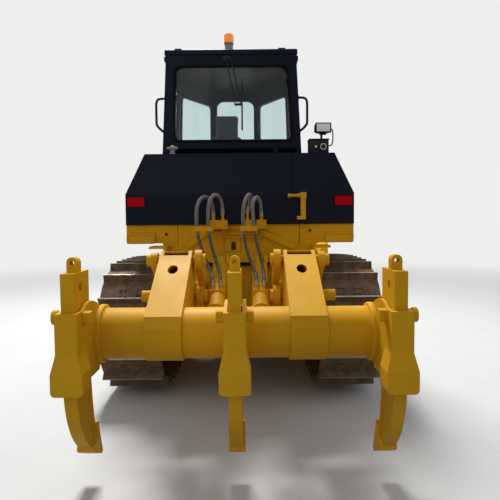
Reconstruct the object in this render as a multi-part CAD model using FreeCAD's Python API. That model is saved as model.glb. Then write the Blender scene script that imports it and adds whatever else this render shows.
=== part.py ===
import FreeCAD, Part
import math
import os

# Crawler bulldozer with a three shank ripper. Millimetres, Z up, the blade
# looks along +Y. Heights start at the ground, lengths at the sprocket axle;
# at the end every piece is moved so that the whole stands centred on Y.

V = FreeCAD.Vector

# undercarriage
TRACK_GAUGE = 2000.0
SHOE_WIDTH = 560.0
SHOE_COUNT = 38
GROUSER = 65.0
SHOE_PLATE = 18.0
PIN_TO_PLATE = 62.0
PIN_TO_TREAD = 46.0
PIN_LINE = PIN_TO_PLATE + SHOE_PLATE + GROUSER
SPROCKET = (0.0, 660.0)
SPROCKET_R = 468.0
IDLER = (2730.0, 560.0)
IDLER_R = 415.0
IDLER_WHEEL_R = 354.0
CARRIERS = ((850.0, 1128.0), (1850.0, 1078.0))
ROLLER_Y = (600.0, 938.0, 1276.0, 1614.0, 1952.0, 2290.0)
GROUND_Y = (400.0, 2400.0)
ROLLER_R = 108.0
CARRIER_R = 90.0
RAIL_X = (918.0, 963.0)
FINAL_DRIVE_R = 330.0

# hull
HULL_HALF = 450.0
HULL_REAR = -330.0
HULL_BOTTOM = 430.0
HULL_TOP = 1250.0
NOSE_Y = 3600.0
HOOD_HALF = 470.0
HOOD_FRONT = 3420.0
HOOD_REAR = 1800.0
HOOD_TOP = 2050.0
HOOD_SKIN = 8.0
ENGINE_Y = (NOSE_Y - 1650.0, NOSE_Y - 450.0)
GUARD_HALF = 460.0
GUARD_FRONT = NOSE_Y + 50.0
GUARD_Z = (900.0, 2080.0)
RADIATOR_HALF = 400.0
RADIATOR_Z = (980.0, 1990.0)
GRILLE_HALF = 380.0
GRILLE_Z = (1020.0, 1960.0)

# tank and fenders
TANK_REAR = -350.0
TANK_FRONT = 150.0
TANK_BOTTOM = 1640.0
TANK_CREASE = 1920.0
TANK_TOP = 2300.0
TANK_HALF = 1048.0
TANK_BEVEL = 163.0
TANK_TOP_HALF = TANK_HALF - TANK_BEVEL
TANK_TOP_SET = 100.0
STRIP_Y = (-330.0, -310.0)
STRIP_LOW = 1470.0
STRIP_FOOT = 1290.0
STRIP_X = (720.0, 570.0)
DECK_Z = (1560.0, 1600.0)
FENDER_IN = 640.0
FENDER_OUT = 1070.0
FENDER_FRONT = 1760.0

# cab
CAB_X = -85.0
CAB_Z0 = 1640.0
CAB_Z1 = 3350.0
CAB_HALF0 = 746.0
CAB_HALF1 = 658.0
CAB_REAR = 200.0
CAB_CORNER = 1100.0
CAB_NOSE = 1720.0
CAB_NOSE_HALF = 300.0
CAB_WALL = 42.0
ROOF_T = 55.0
DOOR_Y = (330.0, 1060.0)
DOOR_Z = (1690.0, 3260.0)
DOOR_GAP = 6.0
HINGE_Z = (1860.0, 2500.0, 3100.0)
HINGE_OUT = 11.0
REAR_GLASS = ((-590.0, 2487.0), (625.0, 2487.0), (571.0, 3236.0), (-565.0, 3236.0))
REAR_GLASS_R = 60.0
GUTTER_Z = (3300.0, 3340.0)
GUTTER_OUT = 20.0
SEAT_X = -155.0
SEAT_Z = (2010.0, 2130.0)
BEACON = (-110.0, 330.0)

# blade
TRUNNION = (1150.0, 430.0)
ARM_X = (1335.0, 1445.0)
BLADE_OVERHANG = 155.0
BLADE_HALF = ARM_X[1] + BLADE_OVERHANG
BLADE_Y = 4800.0
BLADE_FOOT = 200.0
BLADE_TOP = 1260.0
BLADE_SKIN = 25.0
BLADE_HOLLOW = 150.0
BLADE_LEAN = 60.0
LIFT_X = 585.0
LIFT_T = (3690.0, 1760.0)
LIFT_P = (4300.0, 680.0)
LIFT_TAIL = -1010.0
LIFT_HEAD = 150.0
LIFT_PISTON = -226.0
BLADE_RANGE = (-6, 14)
BRACE_LOW = (3560.0, 640.0)
BRACE_HIGH = (4560.0, 1110.0)
BRACE_NECK = 150
BRACE_NECK_R = 25

# ripper
T1 = (-550.0, 920.0)
T2 = (-450.0, 640.0)
P1 = (-1250.0, 1380.0)
P2 = (-1150.0, 1100.0)
RIP_T = (-450.0, 1300.0)
RIP_P = (-1545.0, 830.0)
RIP_X = 170.0
RIP_HEAD = 802.0
RIP_PISTON = 246.0
RIPPER_RANGE = (-8, 48)
BEAM = (-1770.0, 955.0)
BEAM_R = 162.0
ARM_CENTRE = 450.0
ARM_HALF = 115.0
ARM_EAR = 72.0
ARM_WALL = 26.0
LINK_HALF = 58.0
LINK_PLATES = ((265.0, 315.0), (590.0, 640.0))
SHANK_X = (-930.0, 0.0, 930.0)
SHANK_T = 75.0
SHANK_REAR = -2187.0
SHANK_FRONT = -1925.0
SHANK_TOP = 1380.0
SHANK_FIT = 0.4
EYE_YZ = (-2068.0, 1435.0)
EYE_R = 14.0
EYE_LUG = 32.0
POCKET_W = 125.0
POCKET_REAR = -2225.0
POCKET_TOP = 1160.0
FOOT_W = 180.0
FOOT_Y = (-2240.0, -2086.0)
FOOT_Z = (700.0, 824.0)
FLARE_TOP = 930.0
COLLAR_T = 34.0
COLLAR_R = 186.0
SHANK_PIN = (-2105.0, 1122.0)
SHANK_PIN_R = 34.0
SHANK_PIN_OUT = 46.0
PIN_R = 35.0

# a shank's leg: distance in front of the shank's rear or front edge, height
LEG_REAR = ((0.0, 760.0), (67.0, 478.0), (232.0, 285.0))
LEG_FRONT = ((83.0, 310.0), (32.0, 500.0), (0.0, 735.0))
POINT_HALF = 51.5

# hoses: the ports are on the ripper barrels, each route runs from its fitting
# over the loop and through its clamp down to its port
HOSE_R = 13.0
SLEEVE_R = 17.0
SLEEVE = 42.0
BLOCK_Y = (-460.0, -352.0)
BLOCK_Z = (1600.0, 1680.0)
CLAMP_POINT = 6
CLAMP_Z = (1583.0, 1625.0)
HOSES = {
    "hose_1": ((-238, -405, 1712), (-238, -405, 1812), (-275, -468, 1885), (-327, -557, 1885), (-364, -620, 1812),
               (-371, -628, 1712), (-368, -622, 1604), (-352, -624, 1505), (-309, -676, 1392), (-262, -770, 1305),
               (-232, -868, 1248), (-213, -958, 1215), (-208, -1000, 1148)),
    "hose_2": ((-155, -405, 1734), (-155, -405, 1832), (-186, -468, 1902), (-231, -557, 1902), (-262, -620, 1832),
               (-270, -628, 1728), (-266, -622, 1604), (-254, -624, 1500), (-220, -680, 1386), (-184, -772, 1302),
               (-160, -872, 1246), (-147, -962, 1216), (-145, -1002, 1150)),
    "hose_3": ((70, -402, 1752), (90, -404, 1836), (104, -468, 1902), (76, -557, 1902), (44, -620, 1836),
               (30, -628, 1730), (34, -622, 1604), (44, -624, 1500), (70, -680, 1388), (108, -772, 1304),
               (130, -872, 1248), (140, -962, 1216), (142, -1002, 1150)),
    "hose_4": ((195, -405, 1716), (195, -405, 1811), (171, -468, 1878), (136, -557, 1878), (112, -620, 1811),
               (117, -630, 1712), (128, -622, 1604), (142, -624, 1505), (172, -676, 1392), (192, -770, 1306),
               (201, -870, 1248), (203, -960, 1214), (202, -1000, 1148)),
}

NODES = {}


def box(x0, x1, y0, y1, z0, z1):
    return Part.makeBox(x1 - x0, y1 - y0, z1 - z0, V(x0, y0, z0))


def rod_x(x0, x1, y, z, r):
    return Part.makeCylinder(r, x1 - x0, V(x0, y, z), V(1, 0, 0))


def rod_between(a, b, r):
    a = V(*a)
    b = V(*b)
    return Part.makeCylinder(r, (b - a).Length, a, b - a)


def side_plate(points, x0, x1):
    wire = Part.makePolygon([V(x0, y, z) for y, z in points] + [V(x0, points[0][0], points[0][1])])
    return Part.Face(wire).extrude(V(x1 - x0, 0, 0))


def rear_plate(points, y0, y1):
    wire = Part.makePolygon([V(x, y0, z) for x, z in points] + [V(points[0][0], y0, points[0][1])])
    return Part.Face(wire).extrude(V(0, y1 - y0, 0))


def flat_plate(points, z0, z1):
    wire = Part.makePolygon([V(x, y, z0) for x, y in points] + [V(points[0][0], points[0][1], z0)])
    return Part.Face(wire).extrude(V(0, 0, z1 - z0))


def mirror(shape):
    return shape.mirror(V(0, 0, 0), V(1, 0, 0))


def both(shape):
    return [shape, mirror(shape)]


def fuse(shapes):
    out = shapes[0]
    if len(shapes) > 1:
        out = out.fuse(shapes[1:])
    return out.removeSplitter()


def round_edges(shape, radius, test):
    edges = [e for e in shape.Edges if test(e)]
    return shape.makeFillet(radius, edges) if edges else shape


def along_y(edge):
    a, b = edge.Vertexes[0].Point, edge.Vertexes[-1].Point
    return len(edge.Vertexes) == 2 and abs(a.x - b.x) < 1e-3 and abs(a.z - b.z) < 1e-3


def bent_rod(points, radius):
    shapes = []
    for a, b in zip(points[:-1], points[1:]):
        shapes.append(rod_between(a, b, radius))
    for p in points[1:-1]:
        shapes.append(Part.makeSphere(radius, V(*p)))
    return fuse(shapes)


def route_tube(points, radius, report=""):
    """Straight runs joined by tangent arcs, one solid."""
    pts = [V(*p) for p in points]
    edges, here, tightest = [], pts[0], 1e9
    for k in range(1, len(pts) - 1):
        a, b, c = pts[k - 1], pts[k], pts[k + 1]
        u, w = (a - b), (c - b)
        run = min(u.Length, w.Length)
        u.normalize()
        w.normalize()
        half = (math.pi - u.getAngle(w)) / 2
        cut = 0.45 * run
        arc_r = cut / math.tan(half)
        tightest = min(tightest, arc_r)
        p, q = b + u * cut, b + w * cut
        mid = (u + w)
        mid.normalize()
        m = b + mid * (arc_r / math.cos(half) - arc_r)
        edges.append(Part.LineSegment(here, p).toShape())
        edges.append(Part.Arc(p, m, q).toShape())
        here = q
    edges.append(Part.LineSegment(here, pts[-1]).toShape())
    spine = Part.Wire(edges)
    ring = Part.Wire(Part.makeCircle(radius, pts[0], pts[1] - pts[0]))
    solid = Part.Wire(spine).makePipeShell([ring], True, True)
    if report:
        expected = math.pi * radius * radius * spine.Length
        print(report, "length %.0f mm, smallest radius %.0f mm, volume ratio %.4f"
              % (spine.Length, tightest, solid.Volume / expected))
    return solid


def sleeve(points, length):
    """Crimped sleeve on the first run of a hose, closed behind its end."""
    start = V(*points[0])
    along = V(*points[1]) - start
    along.normalize()
    foot = 12.0
    outer = Part.makeCylinder(SLEEVE_R, length + foot, start - along * foot, along)
    return outer.cut(Part.makeCylinder(HOSE_R + 0.4, length + 1, start, along))


def at(origin, direction, distance):
    return (origin[0] + direction[0] * distance, origin[1] + direction[1] * distance)


def axis_rod(origin, direction, x, start, stop, radius):
    a = at(origin, direction, start)
    return Part.makeCylinder(radius, stop - start, V(x, a[0], a[1]), V(0, direction[0], direction[1]))


def unit(a, b):
    length = math.hypot(b[0] - a[0], b[1] - a[1])
    return ((b[0] - a[0]) / length, (b[1] - a[1]) / length), length


def put(name, shape):
    NODES[name] = shape


# track path

def hull_path():
    points = []
    for (y, z), r in ((SPROCKET, SPROCKET_R), (IDLER, IDLER_R)):
        for i in range(120):
            a = 2 * math.pi * i / 120
            points.append((y + r * math.cos(a), z + r * math.sin(a)))
    points += list(CARRIERS)
    points += [(y, PIN_LINE) for y in GROUND_Y]
    points.sort()

    def half(seq):
        chain = []
        for p in seq:
            while len(chain) > 1:
                (ay, az), (by, bz) = chain[-2], chain[-1]
                if (by - ay) * (p[1] - az) - (bz - az) * (p[0] - ay) > 0:
                    break
                chain.pop()
            chain.append(p)
        return chain[:-1]

    return half(points) + half(points[::-1])


def pin_points(path):
    lengths = [math.dist(path[i], path[(i + 1) % len(path)]) for i in range(len(path))]
    total = sum(lengths)
    pitch = total / SHOE_COUNT
    pins = []
    i, used = 0, 0.0
    for k in range(SHOE_COUNT):
        s = k * pitch
        while s - used > lengths[i]:
            used += lengths[i]
            i += 1
        t = (s - used) / lengths[i]
        a, b = path[i], path[(i + 1) % len(path)]
        pins.append((a[0] + (b[0] - a[0]) * t, a[1] + (b[1] - a[1]) * t))
    return pins


PINS = pin_points(hull_path())


def offset_corner(k, distance):
    before, here, after = PINS[k - 1], PINS[k], PINS[(k + 1) % SHOE_COUNT]
    (uy, uz), _ = unit(before, here)
    (wy, wz), _ = unit(here, after)
    ny, nz = uz + wz, -(uy + wy)
    size = math.hypot(ny, nz)
    ny, nz = ny / size, nz / size
    scale = distance / (ny * wz - nz * wy)
    return (here[0] + ny * scale, here[1] + nz * scale)


def band(inner, outer, x0, x1):
    out_wire = [offset_corner(k, outer) for k in range(SHOE_COUNT)]
    in_wire = [offset_corner(k, inner) for k in range(SHOE_COUNT)]
    return side_plate(out_wire, x0, x1).cut(side_plate(in_wire, x0 - 5, x1 + 5))


def track():
    plate = PIN_TO_PLATE + SHOE_PLATE
    outline = []
    for k in range(SHOE_COUNT):
        a, b = PINS[k], PINS[(k + 1) % SHOE_COUNT]
        (uy, uz), pitch = unit(a, b)
        ny, nz = uz, -uy

        def spot(along, out):
            return (a[0] + uy * along + ny * out, a[1] + uz * along + nz * out)

        outline.append(offset_corner(k, plate - 12))
        outline += [spot(16, plate), spot(pitch - 52, plate), spot(pitch - 42, PIN_LINE),
                    spot(pitch - 28, PIN_LINE), spot(pitch - 16, plate)]
    inside = [offset_corner(k, PIN_TO_PLATE) for k in range(SHOE_COUNT)]
    x0 = TRACK_GAUGE / 2 - SHOE_WIDTH / 2
    shoes = side_plate(outline, x0, x0 + SHOE_WIDTH)
    shoes = shoes.cut(side_plate(inside, x0 - 5, x0 + SHOE_WIDTH + 5))
    mid = TRACK_GAUGE
    rail = band(-PIN_TO_TREAD, PIN_TO_PLATE, RAIL_X[0], RAIL_X[1])
    other = band(-PIN_TO_TREAD, PIN_TO_PLATE, mid - RAIL_X[1], mid - RAIL_X[0])
    return fuse([shoes, rail, other])


def sprocket():
    teeth = SHOE_COUNT // 2 + 6
    points = []
    for i in range(teeth):
        for part, r in ((0.0, SPROCKET_R - 34), (0.3, SPROCKET_R - 34), (0.5, SPROCKET_R + 12),
                        (0.8, SPROCKET_R + 12)):
            a = 2 * math.pi * (i + part) / teeth
            points.append((SPROCKET[0] + r * math.cos(a), SPROCKET[1] + r * math.sin(a)))
    ring = side_plate(points, 966, 1034)
    ring = ring.cut(rod_x(900, 1100, SPROCKET[0], SPROCKET[1], FINAL_DRIVE_R - 20))
    return ring


def final_drive():
    y, z = SPROCKET
    inner = rod_x(HULL_HALF, 700, y, z, FINAL_DRIVE_R - 40)
    inner = inner.fuse(rod_x(700, 966, y, z, FINAL_DRIVE_R - 20))
    hub = Part.makeCone(FINAL_DRIVE_R - 20, FINAL_DRIVE_R - 110, 90, V(1034, y, z), V(1, 0, 0))
    mid = rod_x(966, 1034, y, z, FINAL_DRIVE_R - 20)
    cap = rod_x(1124, 1190, y, z, 150)
    return fuse([inner, mid, hub, cap])


# build the pieces

TRACK = track()
put("track_right", TRACK)
put("track_left", mirror(TRACK))

put("sprockets", Part.makeCompound(both(sprocket())))
put("final_drives", Part.makeCompound(both(final_drive())))

rollers = []
for y in ROLLER_Y:
    z = PIN_LINE + PIN_TO_TREAD + ROLLER_R
    body = rod_x(885, 1115, y, z, ROLLER_R - 22)
    rollers.append(fuse([body, rod_x(RAIL_X[0], RAIL_X[1], y, z, ROLLER_R),
                         rod_x(2000 - RAIL_X[1], 2000 - RAIL_X[0], y, z, ROLLER_R)]))
for y, z in CARRIERS:
    zc = z - PIN_TO_TREAD - CARRIER_R - 4.0
    rollers.append(fuse([rod_x(905, 1095, y, zc, CARRIER_R), rod_x(860, 905, y, zc, 50)]))
put("track_rollers", Part.makeCompound([s for r in rollers for s in both(r)]))

idler_z = IDLER[1]
wheel = rod_x(925, 1075, IDLER[0], idler_z, IDLER_WHEEL_R)
wheel = fuse([wheel, rod_x(966, 1034, IDLER[0], idler_z, IDLER_WHEEL_R + 22)])
for x0, x1 in ((920, 950), (1050, 1080)):
    ring = rod_x(x0, x1, IDLER[0], idler_z, 300).cut(rod_x(x0 - 1, x1 + 1, IDLER[0], idler_z, 130))
    wheel = wheel.cut(ring)
wheel = fuse([wheel, rod_x(880, 1120, IDLER[0], idler_z, 60)])
put("idlers", Part.makeCompound(both(wheel)))

frame_parts = [box(905, 1095, 500, 2200, 400, 600)]
for x0, x1 in ((850, 884), (1116, 1150)):
    frame_parts.append(side_plate([(340, 400), (380, 250), (2400, 250), (2440, 400), (2440, 470), (340, 470)],
                                  x0, x1))
    frame_parts.append(box(x0, x1, 2400, 2860, 470, 600))
    frame_parts.append(box(x0, x1, 420, 2440, 440, 600))
frame_parts.append(box(850, 1150, 500, 2180, 430, 560))
for y, z in CARRIERS:
    zc = z - PIN_TO_TREAD - CARRIER_R - 4.0
    frame_parts.append(box(840, 880, y - 60, y + 60, 560, zc + 60).cut(rod_x(830, 890, y, zc, 50)))
frame_parts.append(rod_x(1150, ARM_X[0] - 35, TRUNNION[0], TRUNNION[1], 95))
frame_parts.append(rod_x(ARM_X[0] - 35, ARM_X[1] + 25, TRUNNION[0], TRUNNION[1], 62))
right_frame = fuse(frame_parts)
right_frame = right_frame.cut(fuse([rod_x(884, 1116, y, PIN_LINE + PIN_TO_TREAD + ROLLER_R, ROLLER_R + 6)
                                    for y in ROLLER_Y]))
idler_axle = rod_x(840, 1160, IDLER[0], idler_z, 60.5)
right_frame = right_frame.cut(idler_axle)
put("track_frames", Part.makeCompound(both(right_frame)))

# hull
case = side_plate([(HULL_REAR, 520), (HULL_REAR + 90, HULL_BOTTOM), (1000, HULL_BOTTOM), (1000, HULL_TOP),
                   (HULL_REAR + 60, HULL_TOP), (HULL_REAR, HULL_TOP - 60)], -HULL_HALF, HULL_HALF)
hull = [case]
for side in (-1, 1):
    x0, x1 = sorted((side * 330, side * 430))
    hull.append(box(x0, x1, 1000, NOSE_Y, 520, 900))
hull.append(box(-430, 430, 1000, NOSE_Y, 500, 520))
hull.append(box(-430, 430, NOSE_Y - 60, NOSE_Y, 520, 900))
hull.append(box(-300, 300, 1000, 1850, 700, 1250))
main_frame = fuse(hull)
eye = side_plate([(NOSE_Y, 560), (NOSE_Y + 90, 560), (NOSE_Y + 120, 600), (NOSE_Y + 120, 660),
                  (NOSE_Y + 90, 700), (NOSE_Y, 700)], -40, 40)
eye = eye.cut(rod_x(-50, 50, NOSE_Y + 70, 630, 28))
main_frame = fuse([main_frame, eye])
put("main_frame", main_frame)

bar = box(-850, 850, 2050, 2250, 400, 500)
put("equalizer_bar", bar)

# engine and hood
engine = fuse([box(-280, 280, *ENGINE_Y, 700, 1450), box(-200, 200, ENGINE_Y[0] + 50, ENGINE_Y[1] - 50, 1450, 1750),
               rod_x(-320, -200, ENGINE_Y[0] + 400, 1500, 110), box(-330, 330, ENGINE_Y[0] + 100, ENGINE_Y[0] + 300, 700, 800),
               box(-330, 330, ENGINE_Y[1] - 250, ENGINE_Y[1] - 100, 700, 800)])
put("engine_block", engine)


def hood_solid(half, y0, y1, low, top, radius):
    solid = side_plate([(y0, low), (y0, top), (y1, top - 40), (y1, low)], -half, half)
    return round_edges(solid, radius, lambda e: e.Vertexes[0].Z > top - 90 and e.Vertexes[-1].Z > top - 90
                       and abs(e.Vertexes[0].Y - e.Vertexes[-1].Y) > 100)


PANEL_Z = (1080, 1900)
hood = hood_solid(HOOD_HALF, HOOD_REAR, HOOD_FRONT, PANEL_Z[1], HOOD_TOP, 90)
put("hood", hood.cut(hood_solid(HOOD_HALF - HOOD_SKIN, HOOD_REAR - 1, HOOD_FRONT + 1, PANEL_Z[1] - 10,
                                HOOD_TOP - HOOD_SKIN, 90 - HOOD_SKIN)))

panel = box(HOOD_HALF - HOOD_SKIN, HOOD_HALF, HOOD_REAR, HOOD_FRONT, *PANEL_Z)
for y in (HOOD_REAR + 180, HOOD_REAR + 940):
    for k in range(9):
        z = PANEL_Z[0] + 220 + 60 * k
        panel = panel.cut(box(HOOD_HALF - 20, HOOD_HALF + 20, y, y + 520, z, z + 24))
put("side_panels", Part.makeCompound(both(panel)))

guard = box(-GUARD_HALF, GUARD_HALF, HOOD_FRONT, GUARD_FRONT, *GUARD_Z)
guard = round_edges(guard, 60, lambda e: along_y(e) and e.Vertexes[0].Z > GUARD_Z[1] - 1)
guard = guard.cut(box(-RADIATOR_HALF, RADIATOR_HALF, HOOD_FRONT - 1, GUARD_FRONT - 10, *RADIATOR_Z))
guard = guard.cut(box(-GRILLE_HALF, GRILLE_HALF, HOOD_FRONT, GUARD_FRONT + 50, *GRILLE_Z))
ears = []
for side in (1, -1):
    x0, x1 = sorted((side * GUARD_HALF, side * (GUARD_HALF + 40)))
    y, z = LIFT_T
    ear = side_plate([(GUARD_FRONT - 90, z - 100), (y + 50, z - 70), (y + 50, z + 70), (GUARD_FRONT - 90, z + 100)], x0, x1)
    ears.append(ear.cut(rod_x(x0 - 5, x1 + 5, y, z, 35.8)))
put("radiator_guard", fuse([guard] + ears))
put("radiator", box(-RADIATOR_HALF, RADIATOR_HALF, HOOD_FRONT + 20, NOSE_Y - 60, *RADIATOR_Z))
z0, z1 = GRILLE_Z
bars = [box(2 - GRILLE_HALF, GRILLE_HALF - 2, NOSE_Y, NOSE_Y + 12, z0 + 2 + i * 58, z0 + 16 + i * 58) for i in range(17)]
bars += [box(x - 8, x + 8, NOSE_Y + 12, NOSE_Y + 26, z0, z1) for x in (-250, -125, 0, 125, 250)]
rim = box(-GRILLE_HALF, GRILLE_HALF, NOSE_Y - 10, NOSE_Y + 40, z0, z1)
bars.append(rim.cut(box(14 - GRILLE_HALF, GRILLE_HALF - 14, NOSE_Y - 20, GUARD_FRONT, z0 + 14, z1 - 14)))
put("grille", fuse(bars))

pipe = fuse([Part.makeCylinder(75, 300, V(-140, 2450, HOOD_TOP - 25)),
             Part.makeCylinder(55, 420, V(-140, 2450, HOOD_TOP + 275))])
pipe = pipe.cut(NODES["hood"]).cut(Part.makeCylinder(48, 300, V(-140, 2450, HOOD_TOP + 500)))
put("exhaust_pipe", max(pipe.Solids, key=lambda s: s.Volume))
cleaner = fuse([Part.makeCylinder(60, 220, V(170, 2250, HOOD_TOP - 20)),
                Part.makeCylinder(125, 150, V(170, 2250, HOOD_TOP + 200)),
                Part.makeCone(125, 60, 60, V(170, 2250, HOOD_TOP + 350))])
put("air_precleaner", max(cleaner.cut(NODES["hood"]).Solids, key=lambda s: s.Volume))

# fenders, deck and tank
skin = 20
fender = fuse([box(FENDER_IN, FENDER_OUT, TANK_FRONT, FENDER_FRONT, *DECK_Z),
               box(FENDER_OUT - skin, FENDER_OUT, TANK_FRONT, FENDER_FRONT, STRIP_LOW, DECK_Z[0]),
               box(FENDER_IN, FENDER_IN + skin, TANK_FRONT, FENDER_FRONT, 1400, DECK_Z[0]),
               box(FENDER_IN, FENDER_OUT, FENDER_FRONT - skin, FENDER_FRONT, 1400, DECK_Z[0]),
               side_plate([(FENDER_FRONT, DECK_Z[0]), (FENDER_FRONT, DECK_Z[1]), (FENDER_FRONT + 490, 1400),
                           (FENDER_FRONT + 490, 1360)], FENDER_IN, FENDER_OUT)])
put("fenders", Part.makeCompound(both(fender)))

deck = fuse([box(-FENDER_IN, FENDER_IN, TANK_FRONT, FENDER_FRONT, *DECK_Z)]
            + both(box(FENDER_IN - skin, FENDER_IN, TANK_FRONT, FENDER_FRONT, 1400, DECK_Z[0]))
            + both(box(HULL_HALF - 30, HULL_HALF, TANK_FRONT, 980, HULL_TOP, DECK_Z[0]))
            + [box(-HULL_HALF, HULL_HALF, FENDER_FRONT - skin, 1800, HULL_TOP, DECK_Z[1])])
put("deck", deck)


def tank_support():
    """Strip under the tank with its cover plate, steps and brackets, and the shelf that carries the tank."""
    wide, foot = STRIP_X
    strip = rear_plate([(-TANK_HALF, TANK_BOTTOM), (TANK_HALF, TANK_BOTTOM), (TANK_HALF, STRIP_LOW), (wide, STRIP_LOW),
                        (foot, STRIP_FOOT), (-foot, STRIP_FOOT), (-wide, STRIP_LOW), (-TANK_HALF, STRIP_LOW)], *STRIP_Y)
    cover = rear_plate([(-307, 1577), (164, 1577), (535, 1430), (550, STRIP_FOOT), (-550, STRIP_FOOT), (-474, 1430)],
                       STRIP_Y[0] - 18, STRIP_Y[0])
    step = box(TANK_HALF - 268, TANK_HALF - 4, STRIP_Y[0] - 25, STRIP_Y[0], STRIP_LOW - 3, STRIP_LOW + 91)
    step = round_edges(step, 26, along_y)
    bracket = fuse([box(650, 800, STRIP_Y[0] - 230, STRIP_Y[0], 1430, 1450),
                    side_plate([(STRIP_Y[0], 1450), (STRIP_Y[0] - 230, 1450), (STRIP_Y[0] - 230, 1400),
                                (STRIP_Y[0], 1340)], 650, 668)])
    shelf = box(-TANK_HALF, TANK_HALF, STRIP_Y[1], TANK_FRONT, TANK_BOTTOM - 30, TANK_BOTTOM)
    end = box(TANK_HALF - skin, TANK_HALF, STRIP_Y[1], TANK_FRONT, STRIP_LOW, TANK_BOTTOM - 30)
    leg = box(HULL_HALF - 40, HULL_HALF, STRIP_Y[1], TANK_FRONT, HULL_TOP, TANK_BOTTOM - 30)
    out = fuse([strip, cover, shelf] + both(step) + both(bracket) + both(end) + both(leg))
    for x, z in ((-680, 1553), (644, 1577)):
        out = out.cut(Part.makeCylinder(16, 60, V(x, STRIP_Y[0] - 30, z), V(0, 1, 0)))
    return out.cut(box(-83, -39, STRIP_Y[0] - 30, STRIP_Y[1] + 10, 1403, 1478))


put("tank_support", tank_support())

tank = rear_plate([(-TANK_HALF, TANK_BOTTOM), (TANK_HALF, TANK_BOTTOM), (TANK_HALF, TANK_CREASE),
                   (TANK_TOP_HALF, TANK_TOP), (-TANK_TOP_HALF, TANK_TOP), (-TANK_HALF, TANK_CREASE)],
                  TANK_REAR, TANK_FRONT)
wedge = side_plate([(TANK_REAR - 10, TANK_CREASE), (TANK_REAR, TANK_CREASE), (TANK_REAR + TANK_TOP_SET, TANK_TOP),
                    (TANK_REAR + TANK_TOP_SET, TANK_TOP + 20), (TANK_REAR - 10, TANK_TOP + 20)],
                   -TANK_HALF - 40, TANK_HALF + 40)
tank = tank.cut(wedge)
put("fuel_tank", tank)

cap_y = TANK_REAR + TANK_TOP_SET + 35
cap = fuse([Part.makeCylinder(20, 48, V(-630, cap_y, TANK_TOP)), Part.makeCylinder(50, 18, V(-630, cap_y, TANK_TOP + 46)),
            Part.makeCone(30, 8, 22, V(-630, cap_y, TANK_TOP + 63))])
put("filler_cap", cap)

# cab walls come from one shell cut into panels
def cab_points(z, inset):
    t = (z - CAB_Z0) / (CAB_Z1 - CAB_Z0)
    half = CAB_HALF0 + (CAB_HALF1 - CAB_HALF0) * t - inset
    nose = CAB_NOSE_HALF - inset * 0.55
    return [V(CAB_X - half, CAB_REAR + inset, z), V(CAB_X + half, CAB_REAR + inset, z),
            V(CAB_X + half, CAB_CORNER - inset * 0.3, z), V(CAB_X + nose, CAB_NOSE - inset, z),
            V(CAB_X - nose, CAB_NOSE - inset, z), V(CAB_X - half, CAB_CORNER - inset * 0.3, z)]


def cab_prism(inset, z0, z1):
    wires = []
    for z in (z0, z1):
        pts = cab_points(z, inset)
        wires.append(Part.makePolygon(pts + [pts[0]]))
    return Part.makeLoft(wires, True, True)


def window(points, y0, y1, radius):
    solid = rear_plate(points, y0, y1)
    return round_edges(solid, radius, along_y)


def side_window(points, x0, x1, radius):
    solid = side_plate(points, x0, x1)
    return solid.makeFillet(radius, [e for e in solid.Edges if len(e.Vertexes) == 2
                                     and abs(e.Vertexes[0].X - e.Vertexes[1].X) > 10])


walls = cab_prism(0, CAB_Z0, CAB_Z1).cut(cab_prism(CAB_WALL, CAB_Z0 - 1, CAB_Z1 + 1))
pane_layer = cab_prism(14, CAB_Z0, CAB_Z1).cut(cab_prism(22, CAB_Z0 - 1, CAB_Z1 + 1))

rear_hole = window([(CAB_X + x, z) for x, z in REAR_GLASS], CAB_REAR - 60, CAB_REAR + 120, REAR_GLASS_R)
rear_wall = walls.common(box(-1200, 1200, CAB_REAR - 10, CAB_REAR + CAB_WALL + 20, CAB_Z0, CAB_Z1)).cut(rear_hole)
put("cab_rear_wall", rear_wall)
put("rear_window", pane_layer.common(rear_hole))

sides = walls.cut(box(-1200, 1200, CAB_REAR - 10, CAB_REAR + CAB_WALL + 20, CAB_Z0, CAB_Z1))
frame_knuckles = []


def wall_x(side, z, out):
    t = (z - CAB_Z0) / (CAB_Z1 - CAB_Z0)
    return CAB_X + side * (CAB_HALF0 + (CAB_HALF1 - CAB_HALF0) * t + out)


def hinge_knuckle(side, z, height):
    a = V(wall_x(side, z, HINGE_OUT), DOOR_Y[1] - 3, z)
    b = V(wall_x(side, z + height, HINGE_OUT), DOOR_Y[1] - 3, z + height)
    pin = Part.makeCylinder(14, (b - a).Length, a, b - a)
    return pin


def hinge_relief(side, z, height):
    a = V(wall_x(side, z - 0.5, HINGE_OUT), DOOR_Y[1] - 3, z - 0.5)
    b = V(wall_x(side, z + height + 0.5, HINGE_OUT), DOOR_Y[1] - 3, z + height + 0.5)
    return Part.makeCylinder(15.2, (b - a).Length, a, b - a)


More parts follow.
